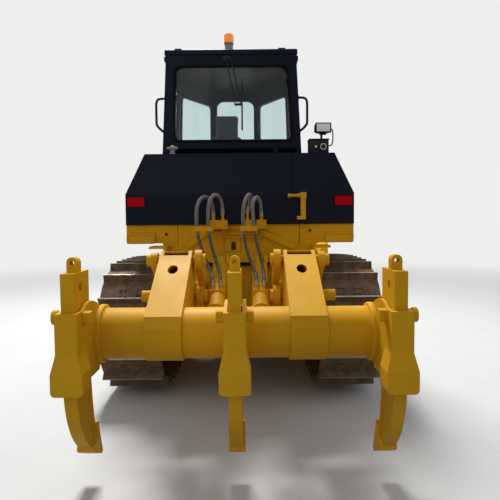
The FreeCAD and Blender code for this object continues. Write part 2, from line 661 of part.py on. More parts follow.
for side, name in ((1, "right"), (-1, "left")):
    x0, x1 = sorted((CAB_X + side * 450, CAB_X + side * 900))
    hole = box(x0, x1, DOOR_Y[0], DOOR_Y[1], DOOR_Z[0], DOOR_Z[1])
    leaf = box(x0, x1, DOOR_Y[0] + DOOR_GAP, DOOR_Y[1] - DOOR_GAP, DOOR_Z[0] + DOOR_GAP, DOOR_Z[1] - DOOR_GAP)
    glass_hole = side_window([(DOOR_Y[0] + 80, 2330), (DOOR_Y[1] - 80, 2330), (DOOR_Y[1] - 80, DOOR_Z[1] - 80),
                              (DOOR_Y[0] + 80, DOOR_Z[1] - 80)], x0, x1, 60)
    low_hole = side_window([(DOOR_Y[0] + 200, 1850), (DOOR_Y[1] - 80, 1850), (DOOR_Y[1] - 80, 2250),
                            (DOOR_Y[0] + 200, 2250)], x0, x1, 50)
    door = walls.common(leaf).cut(glass_hole).cut(low_hole)
    handle = bent_rod([(CAB_X + side * 690, 380, 2330), (CAB_X + side * 745, 380, 2330),
                       (CAB_X + side * 745, 380, 2560), (CAB_X + side * 690, 380, 2560)], 12)
    knuckles = []
    for z in HINGE_Z:
        knuckles.append(hinge_knuckle(side, z, 60))
        frame_knuckles.append(hinge_knuckle(side, z - 60.5, 60))
    door = fuse([door.cut(fuse([hinge_relief(side, z - 60.5, 60) for z in HINGE_Z]))] + knuckles)
    put("door_" + name, door)
    put("door_glass_" + name, Part.makeCompound([pane_layer.common(leaf).common(glass_hole),
                                                 pane_layer.common(leaf).common(low_hole)]))
    sides = sides.cut(hole).cut(fuse([hinge_relief(side, z, 60) for z in HINGE_Z]))

front_hole = window([(CAB_X - 240, 2150), (CAB_X + 240, 2150), (CAB_X + 240, 3233), (CAB_X - 240, 3233)],
                    CAB_NOSE - 200, CAB_NOSE + 60, 90)
corner_holes = []
for side in (1, -1):
    a = cab_points(2000, 0)[2] if side > 0 else cab_points(2000, 0)[5]
    b = cab_points(2000, 0)[3] if side > 0 else cab_points(2000, 0)[4]
    along = V(b.x - a.x, b.y - a.y, 0)
    length = along.Length
    along.normalize()
    out = V(along.y * side, -along.x * side, 0)
    s, e = a + along * 80, a + along * (length - 60)
    p = [V(s.x, s.y, 1850) - out * 160, V(e.x, e.y, 1850) - out * 160]
    face = Part.Face(Part.makePolygon([p[0], p[1], p[1] + V(0, 0, 1310), p[0] + V(0, 0, 1310), p[0]]))
    solid = face.extrude(out * 320)
    solid = solid.makeFillet(60, [ed for ed in solid.Edges if abs(ed.Length - 320) < 1])
    corner_holes.append(solid)
sides = sides.cut(front_hole)
for h in corner_holes:
    sides = sides.cut(h)
gutters = cab_prism(-GUTTER_OUT, *GUTTER_Z).cut(cab_prism(0, *GUTTER_Z)).common(
    box(-1200, 1200, CAB_REAR + 20, CAB_CORNER - 40, *GUTTER_Z))
put("cab_frame", fuse([sides] + frame_knuckles + gutters.Solids))
put("front_windows", Part.makeCompound([pane_layer.common(front_hole)] + [
    pane_layer.common(h).cut(box(CAB_X - 280, CAB_X + 280, 1000, 2000, 1500, 3500)) for h in corner_holes]))

floor_pts = [(p.x, p.y) for p in cab_points(CAB_Z0, 0)]
put("cab_floor", flat_plate(floor_pts, 1600, CAB_Z0))
roof_pts = [(p.x, p.y) for p in cab_points(CAB_Z1, -12)]
roof = flat_plate(roof_pts, CAB_Z1, CAB_Z1 + ROOF_T)
roof = roof.makeFillet(24, [e for e in roof.Edges if min(v.Z for v in e.Vertexes) > CAB_Z1 + ROOF_T - 1])
put("cab_roof", roof)

beacon_base = Part.makeCylinder(46, 110, V(BEACON[0], BEACON[1], CAB_Z1 + ROOF_T))
beacon_lens = Part.makeCylinder(52, 95, V(BEACON[0], BEACON[1], CAB_Z1 + ROOF_T + 110))
beacon_lens = round_edges(beacon_lens, 12, lambda e: e.Vertexes[0].Z > CAB_Z1 + ROOF_T + 200)
put("beacon", fuse([beacon_base, beacon_lens]))

# seat: half width, height, up one side of the back
SEAT_BACK = ((222, SEAT_Z[0] + 50), (222, 2560), (152, 2640), (142, 2870))
back = rear_plate([(SEAT_X + x, z) for x, z in SEAT_BACK] + [(SEAT_X - x, z) for x, z in SEAT_BACK[::-1]], 640, 770)
back = round_edges(back, 45, along_y)
cushion = round_edges(box(SEAT_X - 235, SEAT_X + 235, 765, 1230, *SEAT_Z), 40, along_y)
put("seat", fuse([cushion, back]))
seat_base = box(SEAT_X - 200, SEAT_X + 200, 800, 1180, CAB_Z0, SEAT_Z[0])
console = [box(SEAT_X + x - 80, SEAT_X + x + 80, 620, 1250, CAB_Z0, 2200) for x in (-340, 340)]
dashboard = side_plate([(1480, CAB_Z0), (1480, 2150), (1560, 2300), (1640, 2300), (1640, CAB_Z0)],
                       CAB_X - 200, CAB_X + 200)
put("cab_interior", Part.makeCompound([seat_base] + console + [dashboard]))

# grab handles at the cab's rear corners
handle_y = CAB_REAR + 60
handle = []
for side in (1, -1):
    out = CAB_X + side * 775
    loop = bent_rod([(wall_x(side, 2930, -10), handle_y, 2930), (out, handle_y, 2930), (out, handle_y, 2690),
                     (wall_x(side, 2590, -10), handle_y, 2590)], 14)
    handle.append(loop.cut(cab_prism(0, CAB_Z0, CAB_Z1)))
put("cab_handles", Part.makeCompound(handle))

# rear work lamp on its box
LAMP_BOX = (TANK_TOP_HALF - 225, TANK_TOP_HALF - 30, TANK_FRONT - 290, TANK_FRONT - 140, TANK_TOP, TANK_TOP + 149)
lamp_x, lamp_z = LAMP_BOX[0] + 130, LAMP_BOX[5]
lamp_box = round_edges(box(*LAMP_BOX), 14, along_y)
lamp_head = box(lamp_x - 66, lamp_x + 89, TANK_FRONT - 270, TANK_FRONT - 170, lamp_z + 59, lamp_z + 156)
lamp_head = round_edges(lamp_head, 16, along_y)
lamp_stalk = rod_between((lamp_x, TANK_FRONT - 210, lamp_z - 5), (lamp_x, TANK_FRONT - 210, lamp_z + 70), 14)
put("work_lamp", fuse([lamp_box, lamp_stalk, lamp_head]))

# reflectors
reflector = box(TANK_HALF - 178, TANK_HALF - 13, TANK_REAR - 6, TANK_REAR, TANK_CREASE - 113, TANK_CREASE - 25)
put("reflectors", Part.makeCompound(both(reflector)))

# blade
curve = []
for i in range(9):
    t = i / 8.0
    curve.append((BLADE_Y - BLADE_HOLLOW * math.sin(math.pi * t) + BLADE_LEAN * t, BLADE_FOOT + (BLADE_TOP - BLADE_FOOT) * t))
plate = side_plate(curve + [(y - BLADE_SKIN, z) for y, z in curve[::-1]], -BLADE_HALF, BLADE_HALF)
end = side_plate([(BLADE_Y - 240, 120), (BLADE_Y + 30, 60), (BLADE_Y + 70, BLADE_TOP), (BLADE_Y - 40, BLADE_TOP)],
                 BLADE_HALF - 30, BLADE_HALF)
ribs = [side_plate([(BLADE_Y - 320, 180), (BLADE_Y - 40, 180), (BLADE_Y - 100, 420), (BLADE_Y - 280, 420)],
                   30 - BLADE_HALF, BLADE_HALF - 30),
        side_plate([(BLADE_Y - 210, 1000), (BLADE_Y - 110, 960), (BLADE_Y, BLADE_TOP - 20), (BLADE_Y - 180, BLADE_TOP - 80)],
                   30 - BLADE_HALF, BLADE_HALF - 30)]
lugs = []
for side in (1, -1):
    for x0 in (LIFT_X - 75, LIFT_X + 45):
        xa, xb = sorted((side * x0, side * (x0 + 30)))
        y, z = LIFT_P
        lugs.append(side_plate([(y - 70, z - 60), (y - 30, z - 80), (y + 230, 380), (BLADE_Y - 120, 400), (BLADE_Y - 120, 900),
                                (y + 260, 900), (y, z + 80), (y - 60, z + 60)], xa, xb))
    x = side * (ARM_X[0] + ARM_X[1]) / 2
    y, z = BRACE_HIGH
    for xa, xb in ((x - 55, x - 27), (x + 27, x + 55)):
        lug = side_plate([(BLADE_Y - 20, 940), (y + 90, z - 120), (y - 40, z - 60), (y - 60, z), (y - 40, z + 50),
                          (y + 40, z + 70), (BLADE_Y - 20, z + 80)], xa, xb)
        lugs.append(lug.cut(rod_x(xa - 5, xb + 5, y, z, 30.4)))
edge = side_plate([(BLADE_Y + 38, 12), (BLADE_Y + 62, 12), (BLADE_Y + 26, 215), (BLADE_Y + 2, 205)], -BLADE_HALF, BLADE_HALF)
put("cutting_edge", edge)
blade = fuse([plate] + both(end) + ribs + lugs).cut(edge)
put("blade", blade)

arms = []
for side in (1, -1):
    x0, x1 = sorted((side * ARM_X[0], side * ARM_X[1]))
    arm = side_plate([(1010, 360), (1080, 310), (4600, 205), (4600, 450), (2400, 560), (1080, 560), (1010, 500)], x0, x1)
    arm = arm.cut(rod_x(min(x0, x1) - 5, max(x0, x1) + 5, TRUNNION[0], TRUNNION[1], 62.5))
    x = (x0 + x1) / 2
    for xa, xb in ((x - 55, x - 27), (x + 27, x + 55)):
        lug = side_plate([(3420, 480), (3720, 460), (3620, 660), (3590, 700), (3530, 700), (3490, 660)], xa, xb)
        arm = arm.fuse(lug.cut(rod_x(xa - 5, xb + 5, BRACE_LOW[0], BRACE_LOW[1], 30.4)))
    arms.append(arm.removeSplitter().cut(blade))
put("push_arms", Part.makeCompound(arms))

# lift cylinders
(du, dv), lift_len = unit(LIFT_T, LIFT_P)
barrels, rods = [], []
for side in (1, -1):
    x = side * LIFT_X
    barrel = axis_rod(LIFT_T, (du, dv), x, LIFT_TAIL, LIFT_HEAD, 66)
    gland = axis_rod(LIFT_T, (du, dv), x, LIFT_HEAD - 60, LIFT_HEAD, 76)
    bore = axis_rod(LIFT_T, (du, dv), x, LIFT_TAIL + 30, LIFT_HEAD - 45, 50)
    guide = axis_rod(LIFT_T, (du, dv), x, LIFT_HEAD - 60, LIFT_HEAD + 10, 36.5)
    t0, t1 = sorted((side * 464, side * (LIFT_X - 45)))
    trunnion = rod_x(t0, t1, LIFT_T[0], LIFT_T[1], 35)
    barrels.append(fuse([barrel, gland, trunnion]).cut(bore).cut(guide))
    rod = axis_rod(LIFT_T, (du, dv), x, LIFT_PISTON, lift_len - 40, 36)
    piston = axis_rod(LIFT_T, (du, dv), x, LIFT_PISTON - 30, LIFT_PISTON + 20, 49.5)
    eye = rod_x(x - 39, x + 39, LIFT_P[0], LIFT_P[1], 62)
    rods.append(fuse([rod, eye, piston]))
put("lift_barrels", Part.makeCompound(barrels))
put("lift_rods", Part.makeCompound(rods))

# ripper
bracket = []
for side in (1, -1):
    x0, x1 = sorted((side * 340, side * 560))
    b = side_plate([(HULL_REAR, 560), (-400, 560), (-520, 590), (-530, 700), (-620, 880), (-620, 960), (-560, 1000),
                    (HULL_REAR, 1200)], x0, x1)
    bracket.append(b)
    for x in (RIP_X - 75, RIP_X + 45):
        xa, xb = sorted((side * x, side * (x + 30)))
        bracket.append(side_plate([(HULL_REAR, 1080), (HULL_REAR, 1248), (-440, 1370), (-500, 1360), (-520, 1300),
                                   (-500, 1250), (-430, 1120)], xa, xb).cut(
            rod_x(xa - 5, xb + 5, RIP_T[0], RIP_T[1], 31.8)))
bracket.append(box(-560, 560, HULL_REAR - 30, HULL_REAR, 560, 1190))
pins = []
for side in (1, -1):
    for y, z in (T1, T2):
        x0, x1 = sorted((side * 258, side * 648))
        pins.append(rod_x(x0, x1, y, z, PIN_R))
put("ripper_bracket", fuse(bracket + pins))


def pocket_ring(x, w, z, rear):
    corners = ((x - w, rear), (x + w, rear), (x + w, FOOT_Y[1]), (x - w, FOOT_Y[1]), (x - w, rear))
    return Part.makePolygon([V(a, b, z) for a, b in corners])


def link(a, b, plates, tube_r, across):
    (uy, uz), length = unit(a, b)
    ny, nz = -uz, uy
    out = []
    for side in (1, -1):
        for x0, x1 in plates:
            xa, xb = sorted((side * x0, side * x1))
            pts = [(a[0] + ny * LINK_HALF, a[1] + nz * LINK_HALF), (b[0] + ny * LINK_HALF, b[1] + nz * LINK_HALF),
                   (b[0] - ny * LINK_HALF, b[1] - nz * LINK_HALF), (a[0] - ny * LINK_HALF, a[1] - nz * LINK_HALF)]
            end = 78 if x0 < 400 else 60
            body = fuse([side_plate(pts, xa, xb), rod_x(xa, xb, a[0], a[1], 60), rod_x(xa, xb, b[0], b[1], end)])
            body = body.cut(rod_x(xa - 5, xb + 5, a[0], a[1], PIN_R + 0.8)).cut(
                rod_x(xa - 5, xb + 5, b[0], b[1], PIN_R + 0.8))
            out.append(body)
        m = at(a, (uy, uz), length * 0.48)
        x0, x1 = sorted((side * plates[0][1], side * plates[1][0]))
        out.append(rod_x(x0, x1, m[0], m[1], tube_r))
        if not across:
            p, q = at(a, (uy, uz), length * 0.24), at(a, (uy, uz), length * 0.56)
            t, u = LINK_HALF, LINK_HALF - 22
            web = [(p[0] + ny * t, p[1] + nz * t), (q[0] + ny * t, q[1] + nz * t),
                   (q[0] + ny * u, q[1] + nz * u), (p[0] + ny * u, p[1] + nz * u)]
            out.append(side_plate(web, x0, x1))
    if across:
        m = at(a, (uy, uz), length * 0.48)
        out.append(rod_x(-plates[0][0], plates[0][0], m[0], m[1], tube_r))
    return out


upper = link(T1, P1, LINK_PLATES, 42, False)
lower = link(T2, P2, LINK_PLATES, 48, True)
put("ripper_upper_links", fuse(upper))
put("ripper_lower_links", fuse(lower))

beam = []
for side in (1, -1):
    x0, x1 = side * ARM_CENTRE - ARM_HALF, side * ARM_CENTRE + ARM_HALF
    band_r = BEAM_R + 14
    arm = side_plate([(BEAM[0] - band_r, BEAM[1] - 10), (BEAM[0] - band_r, 1010), (-1915, 1085),
                      (P1[0] - 36, P1[1] + 62), (P1[0] + ARM_EAR, P1[1]), (P2[0] + 66, P2[1] + 20),
                      (P2[0] + 40, P2[1] - 54), (-1165, 1030), (-1600, 812), (BEAM[0] + 20, BEAM[1] - band_r)], x0, x1)
    arm = fuse([arm, rod_x(x0, x1, BEAM[0], BEAM[1], band_r), rod_x(x0, x1, P1[0], P1[1], ARM_EAR),
                rod_x(x0, x1, P2[0], P2[1], 67)])
    cavity = side_plate([(-1600, 1080), (-1345, 1372), (-1420, 1405), (-1420, 1500), (-1000, 1500), (-1000, 900),
                         (-1140, 1000), (-1400, 985)], x0 + ARM_WALL, x1 - ARM_WALL)
    arm = arm.cut(cavity)
    arm = arm.cut(Part.makeCylinder(36, 200, V(side * ARM_CENTRE, -1520, 1345), V(0, 1, -0.25)))
    beam.append(arm)
    for (y, z), outer in ((P1, 672), (P2, 735)):
        xa, xb = sorted((side * 240, side * outer))
        beam.append(rod_x(xa, xb, y, z, PIN_R))
        xa, xb = sorted((side * 641, side * outer))
        beam.append(rod_x(xa, xb, y, z, PIN_R + 9))
        xa, xb = sorted((side * 240, side * 264))
        beam.append(rod_x(xa, xb, y, z, PIN_R + 14))
    inboard = side * (SHANK_X[2] - POCKET_W / 2)
    xa, xb = sorted((inboard - side * COLLAR_T, inboard))
    collar = rod_x(xa, xb, BEAM[0], BEAM[1], COLLAR_R)
    beam.append(round_edges(collar, 13, lambda e: abs(abs(e.Vertexes[0].X) - abs(inboard - side * COLLAR_T)) < 1
                            and abs(e.Length - 2 * math.pi * COLLAR_R) < 1))
    for x in (RIP_X - 75, RIP_X + 45):
        xa, xb = sorted((side * x, side * (x + 30)))
        beam.append(side_plate([(-1860, 860), (-1600, 765), (-1510, 775), (-1482, 830), (-1505, 885), (-1700, 1075)],
                               xa, xb))
for x in SHANK_X:
    w = POCKET_W / 2
    cheek = side_plate([(POCKET_REAR, POCKET_TOP), (POCKET_REAR, FOOT_Z[1]), (FOOT_Y[1], 760), (-2010, 740), (-1834, 740),
                        (-1800, 800), (-1740, BEAM[1]), (-1790, 1140), (-1850, 1168), (-1930, 1192), (-2000, 1198),
                        (-2060, 1186), (-2120, POCKET_TOP)], x - w, x + w)
    cheek = round_edges(cheek, 20, lambda e: abs(e.Length - POCKET_W) < 1 and e.Vertexes[0].Z > 1180)
    slot = SHANK_T / 2 + 6
    cheek = cheek.cut(box(x - slot, x + slot, SHANK_REAR - 4, -1700, POCKET_TOP - 10, 1300))
    flare = Part.makeLoft([pocket_ring(x, w, FLARE_TOP, POCKET_REAR), pocket_ring(x, FOOT_W / 2, FOOT_Z[1], FOOT_Y[0])],
                          True, True)
    foot = box(x - FOOT_W / 2, x + FOOT_W / 2, FOOT_Y[0], FOOT_Y[1], *FOOT_Z)
    foot = round_edges(foot, 25, lambda e: along_y(e) and e.Vertexes[0].Z < FOOT_Z[0] + 1)
    beam += [cheek, flare, foot]
beam.append(rod_x(-SHANK_X[2] - POCKET_W / 2, SHANK_X[2] + POCKET_W / 2, BEAM[0], BEAM[1], BEAM_R))
carriage = fuse(beam)
for x in SHANK_X:
    half = SHANK_T / 2 + SHANK_FIT
    carriage = carriage.cut(box(x - half, x + half, SHANK_REAR - SHANK_FIT, SHANK_FRONT + SHANK_FIT, 600, 1300))
put("ripper_beam", carriage)


def leg_face(top, rear_in, front_in, lift):
    """Outline of a shank, drawn in by the given amounts: rear edge down, end of the leg, front edge up."""
    rear = [V(0, SHANK_REAR + rear_in + y, z + lift) for y, z in LEG_REAR]
    front = [V(0, SHANK_FRONT - front_in + y, z + lift) for y, z in LEG_FRONT]
    a, b = V(0, rear[0].y, top), V(0, front[-1].y, top)
    return Part.Face(Part.Wire([g.toShape() for g in (
        Part.LineSegment(a, rear[0]), Part.Arc(*rear), Part.LineSegment(rear[-1], front[0]), Part.Arc(*front),
        Part.LineSegment(front[-1], b), Part.LineSegment(b, a))]))


RECESS = 7.0
POINT = ((-1958, 262), (-1918, 236), (-1795, 176), (-1768, 186), (-1828, 345), (-1846, 412), (-1884, 416),
         (-1882, 335), (-1900, 306), (-1957, 292))
shanks = []
points = []
for x in SHANK_X:
    shank = leg_face(SHANK_TOP, 0, 0, 0).extrude(V(SHANK_T, 0, 0))
    shank.translate(V(x - SHANK_T / 2, 0, 0))
    lug_y = (EYE_YZ[0] - 30, EYE_YZ[0] + 30)
    lug = box(x - EYE_LUG, x + EYE_LUG, lug_y[0], lug_y[1], SHANK_TOP, EYE_YZ[1])
    lug = lug.fuse(Part.makeCylinder(EYE_LUG, 60, V(x, lug_y[0], EYE_YZ[1]), V(0, 1, 0)))
    shank = shank.fuse(lug)
    shank = shank.cut(Part.makeCylinder(EYE_R, 80, V(x, lug_y[0] - 10, EYE_YZ[1]), V(0, 1, 0)))
    shank = shank.cut(rod_x(x - 80, x + 80, -2075, 1295, 26)).removeSplitter()
    tip = side_plate(POINT, x - POINT_HALF, x + POINT_HALF).cut(shank)
    for x0 in (x - SHANK_T / 2, x + SHANK_T / 2 - RECESS):
        hollow = leg_face(SHANK_TOP, 26, 52, 26).extrude(V(RECESS, 0, 0))
        hollow.translate(V(x0, 0, 0))
        shank = shank.cut(hollow.common(box(x0 - 1, x0 + RECESS + 1, SHANK_REAR, SHANK_FRONT + 200, 0, FOOT_Z[0] - 12)))
    shanks.append(shank)
    points.append(max(tip.Solids, key=lambda t: t.Volume))
put("ripper_shanks", Part.makeCompound(shanks))
put("ripper_points", Part.makeCompound(points))

# pins that hold the shanks: square heads inboard, round ends outboard
pins = []
y, z = SHANK_PIN
for x in SHANK_X:
    for side in (1, -1):
        face = x + side * POCKET_W / 2
        outboard = x * side > 0
        reach = face + side * (SHANK_PIN_OUT / 2 if outboard else SHANK_PIN_OUT)
        x0, x1 = sorted((face, reach))
        if outboard:
            pins.append(rod_x(x0, x1, y, z, SHANK_PIN_R))
        else:
            head = box(x0, x1, y - SHANK_PIN_R, y + SHANK_PIN_R, z - SHANK_PIN_R, z + SHANK_PIN_R)
            pins.append(round_edges(head, 14, lambda e: abs(e.Length - (x1 - x0)) < 0.01))
put("shank_pins", Part.makeCompound(pins))

(ru, rv), rip_len = unit(RIP_T, RIP_P)
barrels, rods = [], []
for side in (1, -1):
    x = side * RIP_X
    eye = rod_x(x - 39, x + 39, RIP_T[0], RIP_T[1], 60)
    pin = rod_x(x - 74, x + 74, RIP_T[0], RIP_T[1], 31)
    neck = axis_rod(RIP_T, (ru, rv), x, 40, 110, 36)
    body = axis_rod(RIP_T, (ru, rv), x, 105, RIP_HEAD, 66)
    head = axis_rod(RIP_T, (ru, rv), x, RIP_HEAD - 50, RIP_HEAD, 72)
    bore = axis_rod(RIP_T, (ru, rv), x, 130, RIP_HEAD - 40, 50)
    gland = axis_rod(RIP_T, (ru, rv), x, RIP_HEAD - 60, RIP_HEAD + 10, 34.5)
    names = ("hose_1", "hose_2") if side < 0 else ("hose_3", "hose_4")
    ends = [HOSES[n][-1] for n in names]
    pad = box(min(e[0] for e in ends) - 30, max(e[0] for e in ends) + 30, ends[0][1] - 44, ends[0][1] + 26, 1066, 1128)
    sleeves = [sleeve(HOSES[n][::-1], 30) for n in names]
    barrel = fuse([eye, pin, neck, body, head, pad]).cut(bore).cut(gland)
    for n in names:
        end, before = V(*HOSES[n][-1]), V(*HOSES[n][-2])
        along = before - end
        along.normalize()
        barrel = barrel.fuse(Part.makeCylinder(15, 60, end - along * 70, along).cut(
            axis_rod(RIP_T, (ru, rv), x, 110, RIP_HEAD - 60, 60)))
    barrels.append(fuse([barrel] + sleeves))
    rod = axis_rod(RIP_T, (ru, rv), x, RIP_PISTON, rip_len - 30, 34)
    piston = axis_rod(RIP_T, (ru, rv), x, RIP_PISTON - 30, RIP_PISTON + 20, 49.5)
    end = rod_x(x - 39, x + 39, RIP_P[0], RIP_P[1], 58)
    rods.append(fuse([rod, piston, end]))
put("ripper_barrels", Part.makeCompound(barrels))
put("ripper_rods", Part.makeCompound(rods))

# hoses with their fittings
for name, points in HOSES.items():
    put(name, route_tube(points, HOSE_R, name))
blocks = []
fittings = []
for names in (("hose_1", "hose_2"), ("hose_3", "hose_4")):
    starts = [HOSES[n][0] for n in names]
    held = [HOSES[n][CLAMP_POINT] for n in names]
    x0, x1 = min(p[0] for p in starts), max(p[0] for p in starts)
    for x, _, z in starts:
        blocks.append(box(x - 44, x + 44, BLOCK_Y[0], BLOCK_Y[1], BLOCK_Z[0], BLOCK_Z[1]))
        fittings.append(Part.makeCylinder(11, z - 10 - BLOCK_Z[1], V(x, -405, BLOCK_Z[1])))
        fittings.append(Part.makeCylinder(16, 14, V(x, -405, BLOCK_Z[1])))
    blocks.append(box(x0 - 44, x1 + 44, BLOCK_Y[1] - 4, TANK_REAR + 20, BLOCK_Z[0], TANK_BOTTOM - 1))
    h0, h1 = min(p[0] for p in held), max(p[0] for p in held)
    y = held[0][1]
    bar = box(h0 - 30, h1 + 30, y - 20, y + 20, CLAMP_Z[0], CLAMP_Z[1])
    arm = (x0 + h1) / 2
    blocks.append(bar)
    blocks.append(box(arm - 20, arm + 20, y + 10, BLOCK_Y[1], CLAMP_Z[0], CLAMP_Z[0] + 22))
    fittings += [sleeve(HOSES[n], SLEEVE) for n in names]
block = fuse(blocks)
for points in HOSES.values():
    block = block.cut(route_tube(points, HOSE_R + 0.3))
put("hose_blocks", fuse([block] + fittings))

post = fuse([box(553, 597, -420, -385, 1690, 1925), box(548, 602, -428, -372, 1868, 1925),
             box(520, 597, -420, -385, 1680, 1712), box(560, 590, -372, TANK_REAR, 1876, 1915),
             box(560, 590, -386, TANK_REAR, 1690, 1715)])
put("fuel_coupler", fuse([post, rod_x(452, 548, -400, 1897, 13), rod_x(437, 460, -400, 1897, 17),
                          rod_x(520, 548, -400, 1897, 17)]))

# blade braces: a screw strut on the left, a tilt cylinder on the right
(bu, bv), blen = unit(BRACE_LOW, BRACE_HIGH)
braces = []
for side in (1, -1):
    x = side * (ARM_X[0] + ARM_X[1]) / 2
    brace = [rod_x(x - 55, x + 55, BRACE_LOW[0], BRACE_LOW[1], 30), rod_x(x - 55, x + 55, BRACE_HIGH[0], BRACE_HIGH[1], 30),
             rod_x(x - 26, x + 26, BRACE_LOW[0], BRACE_LOW[1], 50), rod_x(x - 26, x + 26, BRACE_HIGH[0], BRACE_HIGH[1], 40)]
    brace.append(axis_rod(BRACE_LOW, (bu, bv), x, 20, blen - 20, BRACE_NECK_R))
    if side > 0:
        brace.append(axis_rod(BRACE_LOW, (bu, bv), x, BRACE_NECK, 660, 62))
        brace.append(axis_rod(BRACE_LOW, (bu, bv), x, 640, 740, 70))
    else:
        brace.append(axis_rod(BRACE_LOW, (bu, bv), x, 280, blen - 280, 50))
    braces.append(fuse(brace))
put("blade_braces", Part.makeCompound(braces))

# move everything so that the box is centred on Y, and write the files
low = min(s.BoundBox.YMin for s in NODES.values())
high = max(s.BoundBox.YMax for s in NODES.values())
SHIFT = -(low + high) / 2
for name in NODES:
    NODES[name].translate(V(0, SHIFT, 0))

os.makedirs("parts", exist_ok=True)
for name, shape in NODES.items():
    shape.exportStep("parts/" + name + ".step")
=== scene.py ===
"""Dresses a packed crawler bulldozer: finishes, hoses, cab trim and small fittings."""

import math

import bmesh
import bpy
from bpy.props import FloatProperty, FloatVectorProperty, IntProperty, PointerProperty
from mathutils import Matrix, Vector


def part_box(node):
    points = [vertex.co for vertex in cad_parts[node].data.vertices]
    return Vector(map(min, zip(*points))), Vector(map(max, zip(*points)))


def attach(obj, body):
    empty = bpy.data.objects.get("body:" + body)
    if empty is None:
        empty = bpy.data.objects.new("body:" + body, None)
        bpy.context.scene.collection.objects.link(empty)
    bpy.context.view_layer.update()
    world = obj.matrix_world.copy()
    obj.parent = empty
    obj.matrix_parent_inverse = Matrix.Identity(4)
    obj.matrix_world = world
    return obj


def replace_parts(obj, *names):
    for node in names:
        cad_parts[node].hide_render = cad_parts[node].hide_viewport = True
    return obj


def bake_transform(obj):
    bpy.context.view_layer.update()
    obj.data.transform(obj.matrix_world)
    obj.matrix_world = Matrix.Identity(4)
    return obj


bl_info = {
    "name": "Crawler bulldozer with ripper",
    "version": (1, 0, 0),
    "blender": (4, 5, 0),
    "location": "View3D > Sidebar > Bulldozer",
    "description": "Finishes and small fittings for a packed crawler bulldozer",
    "category": "Object",
}

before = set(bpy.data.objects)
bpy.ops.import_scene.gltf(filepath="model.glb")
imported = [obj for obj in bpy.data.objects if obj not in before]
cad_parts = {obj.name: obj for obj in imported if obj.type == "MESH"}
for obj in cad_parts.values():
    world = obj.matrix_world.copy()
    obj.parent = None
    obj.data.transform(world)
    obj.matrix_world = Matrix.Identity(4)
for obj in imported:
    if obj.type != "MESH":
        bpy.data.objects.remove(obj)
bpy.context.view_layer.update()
AXLE_Y = -1.315  # where the sprocket axle is in the frame
TRACTOR = "tractor"


def at(x, y, z):
    """A place given from the sprocket axle's centre on the ground, in metres."""
    return Vector((x, y + AXLE_Y, z))


# Sizes and colours that a user would change


class StageSettings(bpy.types.PropertyGroup):
    camera_height: FloatProperty(
        name="Camera height", description="Height of the eye", default=1.66, unit="LENGTH")
    camera_side: FloatProperty(
        name="Camera side", description="Eye's distance from the middle", default=0.09, unit="LENGTH")
    camera_back: FloatProperty(
        name="Camera distance", description="Eye's distance behind the sprocket axle", default=4.95,
        unit="LENGTH")
    camera_dip: FloatProperty(
        name="Camera dip", description="How far the camera looks down", default=math.radians(3.2),
        subtype="ANGLE")
    camera_roll: FloatProperty(
        name="Camera roll", description="How far the camera leans to its side", default=math.radians(-0.5),
        subtype="ANGLE")
    sky: FloatProperty(name="Sky light", description="Strength of the light from all round", default=0.36)
    key: FloatProperty(name="Key light", description="Strength of the high soft lamp", default=2.0)
    floor: FloatVectorProperty(
        name="Floor colour", description="Colour of the floor and the backdrop", default=(0.86, 0.86, 0.85),
        subtype="COLOR")


class PaintSettings(bpy.types.PropertyGroup):
    yellow: FloatVectorProperty(
        name="Yellow", description="Machine paint", default=(0.74, 0.388, 0.010), subtype="COLOR")
    navy: FloatVectorProperty(
        name="Navy", description="Cab and tank paint", default=(0.0035, 0.0062, 0.0135), subtype="COLOR")
    black: FloatVectorProperty(
        name="Black", description="Small painted fittings", default=(0.012, 0.012, 0.013), subtype="COLOR")
    dust: FloatVectorProperty(
        name="Dust", description="Dried dust and soil", default=(0.30, 0.25, 0.19), subtype="COLOR")
    dust_amount: FloatProperty(
        name="Dust amount", description="How dusty the paint is", default=0.35, min=0.0, max=1.0,
        subtype="FACTOR")


class HoseSettings(bpy.types.PropertyGroup):
    radius: FloatProperty(
        name="Hose radius", description="Half the hose's thickness", default=0.013, unit="LENGTH")
    sleeve: FloatProperty(
        name="Sleeve radius", description="Half the sleeve's thickness", default=0.0165, unit="LENGTH")


class CabSettings(bpy.types.PropertyGroup):
    seal: FloatProperty(
        name="Seal width", description="Width of the rear window's seal", default=0.030, unit="LENGTH")
    handle: FloatProperty(
        name="Handle radius", description="Half a grab rail's thickness", default=0.0125, unit="LENGTH")
    cap_limit: FloatProperty(
        name="Cushion cap", description="Most that a cushion's skin may swell", default=0.020, unit="LENGTH")


class TrackSettings(bpy.types.PropertyGroup):
    bolt: FloatProperty(
        name="Shoe bolt radius", description="Half a shoe bolt's width", default=0.016, unit="LENGTH")
    sides: IntProperty(name="Bolt sides", description="Flats on a bolt's head", default=6, min=3, max=12)


SETTINGS = {
    "dozer_stage": StageSettings,
    "dozer_paint": PaintSettings,
    "dozer_hoses": HoseSettings,
    "dozer_cab": CabSettings,
    "dozer_tracks": TrackSettings,
}


# Modelling helpers

MERGE = 1e-5  # points nearer than this are one
CORNER = math.radians(50)  # an edge of a round or flat shape that turns by more than this is rounded


def between(start, end):
    """Lays a shape's own Z on the line from start to end, with its middle halfway along."""
    start, end = Vector(start), Vector(end)
    turn = (end - start).to_track_quat("Z", "Y").to_matrix().to_4x4()
    return Matrix.Translation((start + end) / 2) @ turn


def facing_rear(place):
    """A frame at a place whose own Z points to the rear."""
    return Matrix.Translation(place) @ Matrix.Rotation(math.radians(90), 4, "X")


